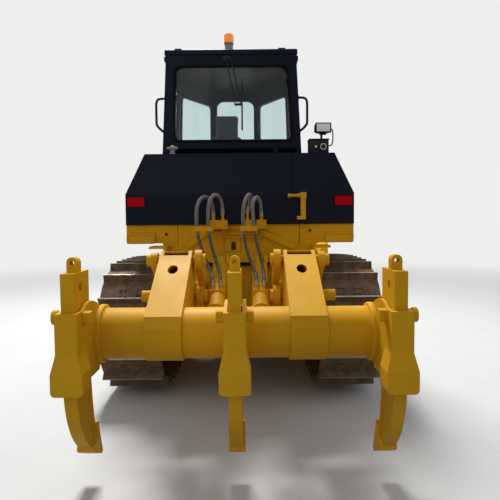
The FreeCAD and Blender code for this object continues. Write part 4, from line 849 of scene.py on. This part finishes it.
def build_filler_cap():
    """The tank's filler cap on its neck."""
    place, wide, tall = footing("filler_cap")
    cap = Shape()
    outline = ((0.60, 0.08), (0.42, 0.14), (0.40, 0.52), (0.94, 0.55), (1.0, 0.60), (1.0, 0.72), (0.90, 0.77),
               (0.50, 0.80), (0.34, 0.90), (0.16, 1.0), (0.0, 1.0))
    foot = [(0.0, -0.002), (wide * 0.62, -0.002)]
    cap.turned(foot + [(wide * out, tall * up) for out, up in outline], place, 36)
    for k in range(12):
        turn = place @ Matrix.Rotation(math.tau * k / 12, 4, "Z")
        cap.box((wide * 0.95, -0.005, tall * 0.57), (wide * 1.03, 0.005, tall * 0.74), 0.002, turn)
    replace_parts(cap.piece("tank_cap", ["lining"], "black_paint"), "filler_cap")


# Lines, pipes, welds and fasteners


def build_panel_lines_and_painted_shadow():
    """Dark joints between panels, a dark strip of painted shadow where the gap under the cab lies in shade,
    and the rims of the reflectors.
    """
    lines = Shape()
    slope = (0, -0.380, 0.100)
    lines.bar(at(0.485, -0.3495, 1.922), at(0.487, -0.2505, 2.299), 0.006, 0.0016, slope)
    # Painted shadow: thin black strips on the cab's rear wall, where the gap between the cab and the tank's
    # top lies in shade.
    for low, high in ((-0.652, 0.337), (0.385, 0.575)):
        lines.box(at(low, CAB_REAR - 0.002, 2.366), at(high, CAB_REAR + 0.002, 2.412), 0.0005)
    for x in (-0.575, 0.547):
        lines.box(at(x - 0.002, -0.3312, 1.452), at(x + 0.002, -0.3290, 1.638))
    for x in (-0.149, 0.007):
        lines.box(at(x - 0.0015, -0.3492, 1.388), at(x + 0.0015, -0.3470, 1.536))
    for z in (1.388, 1.536):
        lines.box(at(-0.149, -0.3492, z - 0.0015), at(0.007, -0.3470, z + 0.0015))
    lines.box(at(-1.048, -0.3505, 1.6395), at(1.048, -0.3300, 1.6435))
    for side in (-1, 1):
        x0, x1 = sorted((side * 0.868, side * 1.037))
        lines.blocks([(x0, -0.3585, 1.8045, x1, -0.3495, 1.8080, 0.001),
                      (x0, -0.3585, 1.8940, x1, -0.3495, 1.8975, 0.001),
                      (x0, -0.3585, 1.8045, x0 + 0.004, -0.3495, 1.8975, 0.001),
                      (x1 - 0.004, -0.3585, 1.8045, x1, -0.3495, 1.8975, 0.001)])
    lines.piece("panel_lines_and_painted_shadow", ["dark"], "dark_paint")
    tabs = Shape()
    for x in (-0.619, 0.428):
        tabs.box(at(x - 0.036, 0.200, 3.403), at(x + 0.036, 0.260, 3.414), 0.003)
    tabs.piece("roof_tabs", ["navy"], "dark_paint")


def build_support_struts():
    """Two slanting plates on the cover under the tank, and raised rims round the steps at its ends."""
    struts = Shape()
    for side in (-1, 1):
        x0, x1 = sorted((side * 0.792, side * 1.034))
        rim = rounded([(x0, 1.478), (x1, 1.478), (x1, 1.551), (x0, 1.551)], 0.018)
        struts.tube([at(x, -0.357, z) for x, z in rim], 0.007, 8, closed=True, smooth=False)
    for top, foot, slope in ((0.150, 0.500, 0.455), (-0.295, -0.478, 0.800)):
        low = 1.584 - slope * abs(foot - top)
        struts.bar(at(top, -0.360, 1.584), at(foot, -0.360, low), 0.052, 0.028, (0, -1, 0), 0.003)
    struts.piece("support_struts", ["yellow"], "yellow_paint")


def build_pipes():
    """Two thin steel pipes between the hose blocks."""
    pipes = Shape()
    y = -0.385
    pipes.rod(at(-0.130, y, 1.611), at(0.075, y, 1.611), 0.007, sides=14)
    route = [(-0.147, 1.602), (-0.147, 1.552), (-0.140, 1.527), (-0.112, 1.524), (0.165, 1.524),
             (0.192, 1.527), (0.199, 1.552), (0.199, 1.602)]
    pipes.tube([at(x, y, z) for x, z in route], 0.008)
    for x in (-0.147, 0.199):
        pipes.rod(at(x, y, 1.588), at(x, y, 1.606), 0.0135, edge=0.0015, sides=6)
    pipes.piece("block_pipes", ["yellow"], "yellow_paint")


# Track line: the axles and end radii of its belt, and the points that it lies on, as (y, z) in metres
SPROCKET_HEIGHT = 0.660
BELT_ROUNDS = (((0.0, SPROCKET_HEIGHT), 0.468), ((2.730, 0.560), 0.415))
BELT_POINTS = ((0.850, 1.128), (1.850, 1.078), (0.400, 0.145), (2.400, 0.145))
SHOES = 38
SHOE_FACE = 0.080  # from the pins' line out to a shoe's face
TIP_BACK = 0.035  # from a shoe's last pin back to its grouser's tip
TIP_OUT = 0.145  # from the pins' line out to the tip
SIDES = ((1, "right"), (-1, "left"))


def belt_line():
    """The closed line that a tight belt takes round the axles."""
    points = list(BELT_POINTS)
    for (y, z), radius in BELT_ROUNDS:
        points += [(y + radius * math.cos(math.tau * k / 120), z + radius * math.sin(math.tau * k / 120))
                   for k in range(120)]
    points.sort()

    def half(row):
        chain = []
        for point in row:
            while len(chain) > 1:
                a, b = chain[-2], chain[-1]
                if (b[0] - a[0]) * (point[1] - a[1]) - (b[1] - a[1]) * (point[0] - a[0]) > 0:
                    break
                chain.pop()
            chain.append(point)
        return chain[:-1]

    return half(points) + half(points[::-1])


def shoe_pins():
    """Where the track's pins are, evenly spaced along its line."""
    line = belt_line()
    steps = [math.dist(a, b) for a, b in zip(line, line[1:] + line[:1])]
    pitch = sum(steps) / SHOES
    pins, i, used = [], 0, 0.0
    for k in range(SHOES):
        while k * pitch - used > steps[i]:
            used += steps[i]
            i += 1
        pins.append(Vector(line[i]).lerp(Vector(line[(i + 1) % len(line)]), (k * pitch - used) / steps[i]))
    return pins


def shoes():
    """Each shoe's first and last pin, the way along it and the way out of the track."""
    pins = shoe_pins()
    for first, last in zip(pins, pins[1:] + pins[:1]):
        along = (last - first).normalized()
        yield first, last, along, Vector((along.y, -along.x))


def build_track_bolts(settings):
    """Two rows of four bolt heads on every track shoe."""
    for side, name in SIDES:
        bolts = Shape()
        for first, _, along, out in shoes():
            for step in (0.052, 0.112):
                foot = first + along * step + out * (SHOE_FACE - 0.002)
                top = foot + out * 0.014
                for x in (0.900, 0.945, 1.055, 1.100):
                    bolts.rod(at(side * x, *foot), at(side * x, *top), settings.bolt * 0.8,
                              settings.bolt * 0.7, sides=settings.sides)
        bolts.piece("shoe_bolts_" + name, ["track"], "track_steel")


def build_tread_wear():
    """Bright worn steel along the tips of the tracks' grousers."""
    for side, name in SIDES:
        wear = Shape()
        for _, last, along, out in shoes():
            tip = last - along * TIP_BACK + out * TIP_OUT
            wear.bar(at(side * 0.7205, *tip), at(side * 1.2795, *tip), 0.0136, 0.0012, (0, *out))
        wear.piece("grouser_wear_" + name, ["bright"], "track_steel")


def build_drive_bolts():
    """Rings of bolts on the sprockets and a row on the blade's cutting edge."""
    ring = Shape()
    for side in (-1, 1):
        for k in range(18):
            turn = math.tau * k / 18
            y, z = 0.345 * math.cos(turn), SPROCKET_HEIGHT + 0.345 * math.sin(turn)
            ring.rod(at(side * 1.032, y, z), at(side * 1.050, y, z), 0.017, 0.016, 0.0015, 6)
    ring.piece("sprocket_bolts", ["yellow"], "yellow_paint")
    edge = Shape()
    out = Vector((0.0, 0.985, 0.175))
    for z in (0.075, 0.160):
        y = 4.862 - 0.036 * (z - 0.012) / 0.203
        for k in range(-8, 9):
            foot = at(k * 0.185, y, z)
            edge.rod(foot - out * 0.002, foot + out * 0.008, 0.021, 0.012, 0.002, 16)
    edge.piece("edge_bolts", ["worn"], "worn_steel", "blade")


def build_welds():
    """Weld beads where the arms, the collars and the middle pocket meet the ripper's beam."""
    welds = Shape()
    turns = [math.tau * k / 56 for k in range(56)]
    ring = [(-1.770 + 0.1625 * math.cos(turn), 0.955 + 0.1625 * math.sin(turn)) for turn in turns]
    for x in (0.0645, 0.3330, 0.5670, 0.8310):
        for side in (-1, 1):
            welds.tube([at(side * x, y, z) for y, z in ring], 0.0045, 8, closed=True, smooth=False)
    welds.piece("beam_welds", ["yellow"], "yellow_paint", "ripper_carriage")


def build_ear_plates():
    """Between the ears of each ripper arm, a lip on its rear plate, a strap over the pin, and behind them a
    dark plate of painted shade in the slot.
    """
    plates = Shape()
    outward = (0.0, -0.4936, 0.8696)
    for side in (-1, 1):
        x = side * 0.450
        plates.bar(at(x, -1.3782, 1.3828), at(x, -1.3170, 1.4175), 0.179, 0.012, outward)
        plates.bar(at(x - 0.089, -1.2608, 1.4411), at(x + 0.089, -1.2608, 1.4411), 0.050, 0.012,
                   (0, 0.17, 0.98), 0.002)
        # Painted shade: a thin plate in dark brown track steel stands for the shaded slot behind the lip and
        # the strap.
        plates.box(at(x - 0.089, -1.2225, 1.412), at(x + 0.089, -1.2185, 1.439), finish=1)
    plates.piece("ear_plates", ["yellow", "track"], "yellow_paint", "ripper_carriage")


def build_pin_ends():
    """The round heads of the outer shanks' pins."""
    ends = Shape()
    for side in (-1, 1):
        ends.rod(at(side * 1.014, -2.105, 1.122), at(side * 1.045, -2.105, 1.122), 0.043, edge=0.006,
                 sides=36)
    ends.piece("pin_ends", ["yellow"], "yellow_paint", "ripper_carriage")


def build_hood_fittings():
    """Latches on the engine's side panels, the exhaust's rain flap and the door handles."""
    latches = Shape()
    for side in (-1, 1):
        for y in (2.000, 2.620, 3.240):
            x0, x1 = sorted((side * 0.468, side * 0.476))
            latches.box(at(x0, y - 0.030, 1.835), at(x1, y + 0.030, 1.875), 0.003)
            x0, x1 = sorted((side * 0.474, side * 0.490))
            latches.box(at(x0, y - 0.022, 1.848), at(x1, y + 0.022, 1.862), 0.004)
    flap = Matrix.Translation(at(-0.140, 2.500, 2.748)) @ Matrix.Rotation(math.radians(28), 4, "X")
    latches.rod(flap @ Vector((0, -0.052, 0.004)), flap @ Vector((0, -0.052, 0.010)), 0.057, 0.055, 0.0015,
                32)
    latches.rod(flap @ Vector((-0.024, 0, 0)), flap @ Vector((0.024, 0, 0)), 0.006, edge=0.001, sides=12)
    latches.box((-0.010, -0.004, -0.002), (0.010, 0.030, 0.010), 0.002, flap)
    latches.piece("hood_fittings", ["black"], "dark_paint")
    middle = -0.085  # the cab's middle
    for side, name in SIDES:
        handle = Shape()
        for x0, x1, y0, y1, z0, z1, soft in ((0.708, 0.730, 0.392, 0.442, 2.290, 2.390, 0.006),
                                             (0.736, 0.748, 0.404, 0.522, 2.352, 2.374, 0.005),
                                             (0.724, 0.744, 0.404, 0.426, 2.352, 2.374, 0.004)):
            a, b = sorted((middle + side * x0, middle + side * x1))
            handle.box(at(a, y0, z0), at(b, y1, z1), soft)
        handle.piece("door_handle_" + name, ["black"], "dark_paint", "door_" + name)


# Seat


PAD_INSET = 0.012  # how much smaller a pad starts, since it swells
PAD_VOXEL = 0.012
SEAM_WIDTH = 0.014
SWELL_FRAMES = 20


def cushion(name, low, high, crown, seams, outline=None):
    """A crowned closed cushion, pulled in between its corners and simulated.

    An outline of (x, z) points, when there is one, takes the place of the plain box."""
    low, high = Vector(low), Vector(high)
    settings = bpy.context.scene.dozer_cab
    pad = Shape()
    if outline:
        pad.slab(outline, high.y - low.y - 2 * PAD_INSET, facing_rear((0, high.y - PAD_INSET, 0)), 0.035, 4)
    else:
        inset = Vector((PAD_INSET,) * 3)
        pad.box(low + inset, high - inset, min(high - low) * 0.32, segments=5)
    made = pad.piece(name, ["cloth"], "seat_cloth", crease=180.0)
    remesh = made.modifiers.new("remesh", "REMESH")
    remesh.mode = "VOXEL"
    remesh.voxel_size = PAD_VOXEL
    apply_modifiers(made)
    swell(made, settings.cap_limit)
    centre = (low + high) / 2
    half = (high - low) / 2
    for vertex in made.data.vertices:
        out = vertex.co - centre
        across = 1.0 - abs(out.x / half.x) ** 4
        for axis, amount in crown:
            along = out[axis] / half[axis]
            if along * amount > 0:
                vertex.co[axis] += amount * across * min(abs(along), 1.0)
        for axis, place, depth in seams:
            gap = (vertex.co[axis] - place) / SEAM_WIDTH
            pull = depth * math.exp(-gap * gap)
            vertex.co += (centre - vertex.co).normalized() * pull
    smooth = made.modifiers.new("smooth", "SUBSURF")
    smooth.levels = smooth.render_levels = 1
    for face in made.data.polygons:
        face.use_smooth = True
    return made


def apply_modifiers(made):
    """Turns what the modifiers give into the piece's own mesh."""
    graph = bpy.context.evaluated_depsgraph_get()
    mesh = bpy.data.meshes.new_from_object(made.evaluated_get(graph))
    old = made.data
    made.modifiers.clear()
    made.data = mesh
    bpy.data.meshes.remove(old)


def swell(made, limit):
    """Blows a cushion up a little with Cloth, no point moving further than the limit."""
    rest = [v.co.copy() for v in made.data.vertices]
    cloth_skin = made.modifiers.new("cloth", "CLOTH")
    cloth_skin.settings.use_pressure = True
    cloth_skin.settings.uniform_pressure_force = 4.0
    cloth_skin.settings.effector_weights.gravity = 0.0
    cloth_skin.settings.quality = 4
    cloth_skin.point_cache.frame_start = 1
    cloth_skin.point_cache.frame_end = SWELL_FRAMES
    for frame_number in range(1, SWELL_FRAMES + 1):
        bpy.context.scene.frame_set(frame_number)
    graph = bpy.context.evaluated_depsgraph_get()
    grown = made.evaluated_get(graph).to_mesh()
    moved = [v.co.copy() for v in grown.vertices]
    made.evaluated_get(graph).to_mesh_clear()
    made.modifiers.clear()
    bpy.context.scene.frame_set(1)
    for vertex, first, last in zip(made.data.vertices, rest, moved):
        step = last - first
        vertex.co = first + step * min(1.0, limit / max(step.length, 1e-9))


def build_seat():
    """The driver's seat: base cushion and one high back that narrows, with armrests."""
    low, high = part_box("seat")
    x = (low[0] + high[0]) / 2
    wide = (high[0] - low[0]) / 2
    y0, z0 = low[1], low[2]
    base = cushion("seat_cushion", (x - wide, y0 + 0.125, z0), (x + wide, y0 + 0.59, z0 + 0.120),
                   ((2, 0.012),), ((0, x - wide * 0.6, 0.008), (0, x + wide * 0.6, 0.008)))
    half = ((0.210, 0.062), (0.210, 0.545), (0.142, 0.622), (0.130, 0.848))
    outline = [(x + a, z0 + b) for a, b in half] + [(x - a, z0 + b) for a, b in reversed(half)]
    cushion("seat_back", (x - 0.222, y0, z0 + 0.050), (x + 0.222, y0 + 0.130, z0 + 0.860),
            ((1, 0.012),), ((2, z0 + 0.610, 0.010), (2, z0 + 0.330, 0.006)), outline)
    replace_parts(base, "seat")
    arms = Shape()
    for side in (-1, 1):
        arms.box((x + side * (wide + 0.035) - 0.025, y0 + 0.10, z0 + 0.24),
                 (x + side * (wide + 0.035) + 0.025, y0 + 0.38, z0 + 0.285), 0.012, segments=3)
        arms.rod((x + side * (wide - 0.025), y0 + 0.09, z0 + 0.22),
                 (x + side * (wide + 0.040), y0 + 0.11, z0 + 0.26), 0.014, sides=12)
    arms.box((x - wide * 0.9, y0 + 0.14, z0 - 0.012), (x + wide * 0.9, y0 + 0.56, z0 + 0.014), 0.006)
    arms.piece("seat_fittings", ["plastic"], "cab_plastic")


# Stage

FLOOR_HALF = 60.0
FLOOR_GAP = 0.002  # the floor is this far under the tracks
FILM_WIDTH = 36.0
LENS = 36.0


def background_rays(tree):
    """A mask of the rays that see the plain background: from the camera, off metal and through glass."""
    seen = put_node(tree, "ShaderNodeLightPath")
    shown = math_node(tree, "ADD", seen.outputs["Is Camera Ray"], seen.outputs["Is Glossy Ray"])
    return math_node(tree, "ADD", shown, seen.outputs["Is Transmission Ray"], clamp=True)


def floor_material(settings):
    """Pale floor that turns into the plain backdrop far from the machine."""
    made, tree, sockets = new_material("floor")
    shown = background_rays(tree)
    pale = blend_colour(tree, patches(tree, 2.0, 0.3, 0.8), scaled(settings.floor, 0.76),
                        scaled(settings.floor, 0.72))
    feed(tree, sockets, {"Base Color": blend_colour(tree, shown, scaled(settings.floor, 0.35), pale),
                         "Roughness": 0.9})
    away = put_node(tree, "ShaderNodeVectorMath", {0: own_place(tree)}, operation="LENGTH")
    far = levels(tree, away.outputs["Value"], 5.0, 16.0, interpolation_type="SMOOTHSTEP")
    glow = put_node(tree, "ShaderNodeEmission", {0: (*settings.floor, 1.0), 1: 1.0}).outputs[0]
    mask = math_node(tree, "MULTIPLY", far, shown)
    shader = tree.nodes["Principled BSDF"].outputs[0]
    mixed = put_node(tree, "ShaderNodeMixShader", {0: mask, 1: shader, 2: glow}).outputs[0]
    tree.links.new(mixed, tree.nodes["Material Output"].inputs["Surface"])
    return made


def build_stage(settings):
    """Pale floor and backdrop, soft lamps and the camera."""
    scene = bpy.context.scene
    scene.view_settings.view_transform = "Standard"
    world = bpy.data.worlds.new("studio")
    scene.world = world
    world.use_nodes = True
    tree = world.node_tree
    tree.nodes.clear()
    shown = background_rays(tree)
    light = put_node(tree, "ShaderNodeBackground", {0: (0.93, 0.96, 1.0, 1.0), 1: settings.sky})
    back = put_node(tree, "ShaderNodeBackground", {0: (*settings.floor, 1.0), 1: 1.0})
    mixed = put_node(tree, "ShaderNodeMixShader", {0: shown, 1: light.outputs[0], 2: back.outputs[0]})
    put_node(tree, "ShaderNodeOutputWorld", {0: mixed.outputs[0]})

    ground = bmesh.new()
    bmesh.ops.create_grid(ground, x_segments=1, y_segments=1, size=FLOOR_HALF)
    mesh = bpy.data.meshes.new("floor")
    ground.to_mesh(mesh)
    ground.free()
    mesh.materials.append(floor_material(settings))
    plane = bpy.data.objects.new("floor", mesh)
    scene.collection.objects.link(plane)
    plane.location.z = -FLOOR_GAP

    lamps = (("key", (-1.8, 3.6, 11.4), (0.0, -1.5, 1.2), 3.2, 920.0 * settings.key),
             ("rear", (-3.5, -9.0, 6.5), (0.0, -2.0, 1.4), 6.0, 40.0 * settings.key),
             ("side", (9.0, -2.0, 5.0), (0.0, 0.0, 1.4), 5.0, 45.0 * settings.key))
    for name, place, aim, size, power in lamps:
        lamp = bpy.data.lights.new(name, "AREA")
        lamp.shape = "SQUARE"
        lamp.size = size
        lamp.energy = power
        holder = bpy.data.objects.new(name, lamp)
        holder.location = place
        holder.rotation_euler = (Vector(aim) - Vector(place)).to_track_quat("-Z", "Y").to_euler()
        scene.collection.objects.link(holder)

    camera = bpy.data.cameras.new("camera")
    camera.sensor_width = FILM_WIDTH
    camera.lens = LENS
    camera.clip_end = 200.0
    eye = bpy.data.objects.new("camera", camera)
    eye.location = at(settings.camera_side, -settings.camera_back, settings.camera_height)
    turn = Matrix.Rotation(math.radians(90) - settings.camera_dip, 3, "X")
    eye.rotation_euler = (turn @ Matrix.Rotation(settings.camera_roll, 3, "Z")).to_euler()
    scene.collection.objects.link(eye)
    scene.camera = eye


class MakeFinishes(bpy.types.Operator):
    """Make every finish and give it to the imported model's nodes"""
    bl_idname = "dozer.finishes"
    bl_label = "Finishes"

    def execute(self, context):
        build_materials()
        dress_nodes()
        return {"FINISHED"}


class MakeStage(bpy.types.Operator):
    """Make the floor, the lamps and the camera"""
    bl_idname = "dozer.stage"
    bl_label = "Stage"

    def execute(self, context):
        build_stage(context.scene.dozer_stage)
        return {"FINISHED"}


class MakeHoses(bpy.types.Operator):
    """Make the ripper's four hoses"""
    bl_idname = "dozer.hoses"
    bl_label = "Hoses"

    def execute(self, context):
        build_hoses(context.scene.dozer_hoses)
        return {"FINISHED"}


class MakeCabTrim(bpy.types.Operator):
    """Make the window seal, the wiper and the grab rails"""
    bl_idname = "dozer.cab_trim"
    bl_label = "Cab trim"

    def execute(self, context):
        build_window_seal(context.scene.dozer_cab)
        build_wiper()
        build_handles(context.scene.dozer_cab)
        return {"FINISHED"}


class MakeLamps(bpy.types.Operator):
    """Make the beacon, the work lamp with its box and the filler cap"""
    bl_idname = "dozer.lamps"
    bl_label = "Lamps and cap"

    def execute(self, context):
        build_lamp()
        build_beacon()
        build_filler_cap()
        return {"FINISHED"}


class MakeLines(bpy.types.Operator):
    """Make the panel joints, the painted shadow strip under the cab, the reflectors' and steps' rims, the
    slanting plates and the thin pipes
    """
    bl_idname = "dozer.lines"
    bl_label = "Panel joints and pipes"

    def execute(self, context):
        build_panel_lines_and_painted_shadow()
        build_support_struts()
        build_pipes()
        return {"FINISHED"}


class MakeFasteners(bpy.types.Operator):
    """Make the bolts of the shoes, the sprockets and the blade, worn tips, latches and handles"""
    bl_idname = "dozer.fasteners"
    bl_label = "Bolts and latches"

    def execute(self, context):
        build_track_bolts(context.scene.dozer_tracks)
        build_tread_wear()
        build_drive_bolts()
        build_hood_fittings()
        return {"FINISHED"}


class MakeWelds(bpy.types.Operator):
    """Make the weld beads and the small plates of the ripper's carriage"""
    bl_idname = "dozer.welds"
    bl_label = "Welds"

    def execute(self, context):
        build_welds()
        build_ear_plates()
        build_pin_ends()
        return {"FINISHED"}


class MakeSeat(bpy.types.Operator):
    """Make the driver's seat"""
    bl_idname = "dozer.seat"
    bl_label = "Seat"

    def execute(self, context):
        build_seat()
        return {"FINISHED"}


OPERATORS = (MakeFinishes, MakeStage, MakeHoses, MakeCabTrim, MakeLamps, MakeLines, MakeFasteners,
             MakeWelds, MakeSeat)


class DozerPanel(bpy.types.Panel):
    """Lists the machine's pieces in the sidebar"""
    bl_label = "Bulldozer"
    bl_idname = "VIEW3D_PT_dozer"
    bl_space_type = "VIEW_3D"
    bl_region_type = "UI"
    bl_category = "Bulldozer"

    def draw(self, context):
        for key, kind in SETTINGS.items():
            box = self.layout.box()
            for name in kind.__annotations__:
                box.prop(getattr(context.scene, key), name)
        for operator in OPERATORS:
            self.layout.operator(operator.bl_idname)


CLASSES = (*SETTINGS.values(), *OPERATORS, DozerPanel)


def register():
    """Registers the settings, the operators and the panel."""
    for kind in CLASSES:
        bpy.utils.register_class(kind)
    for key, kind in SETTINGS.items():
        setattr(bpy.types.Scene, key, PointerProperty(type=kind))


def unregister():
    """Takes them away again."""
    for key in SETTINGS:
        delattr(bpy.types.Scene, key)
    for kind in reversed(CLASSES):
        bpy.utils.unregister_class(kind)


def main():
    """Makes every piece."""
    register()
    for operator in OPERATORS:
        module, name = operator.bl_idname.split(".")
        getattr(getattr(bpy.ops, module), name)()


if __name__ == "__main__":
    main()
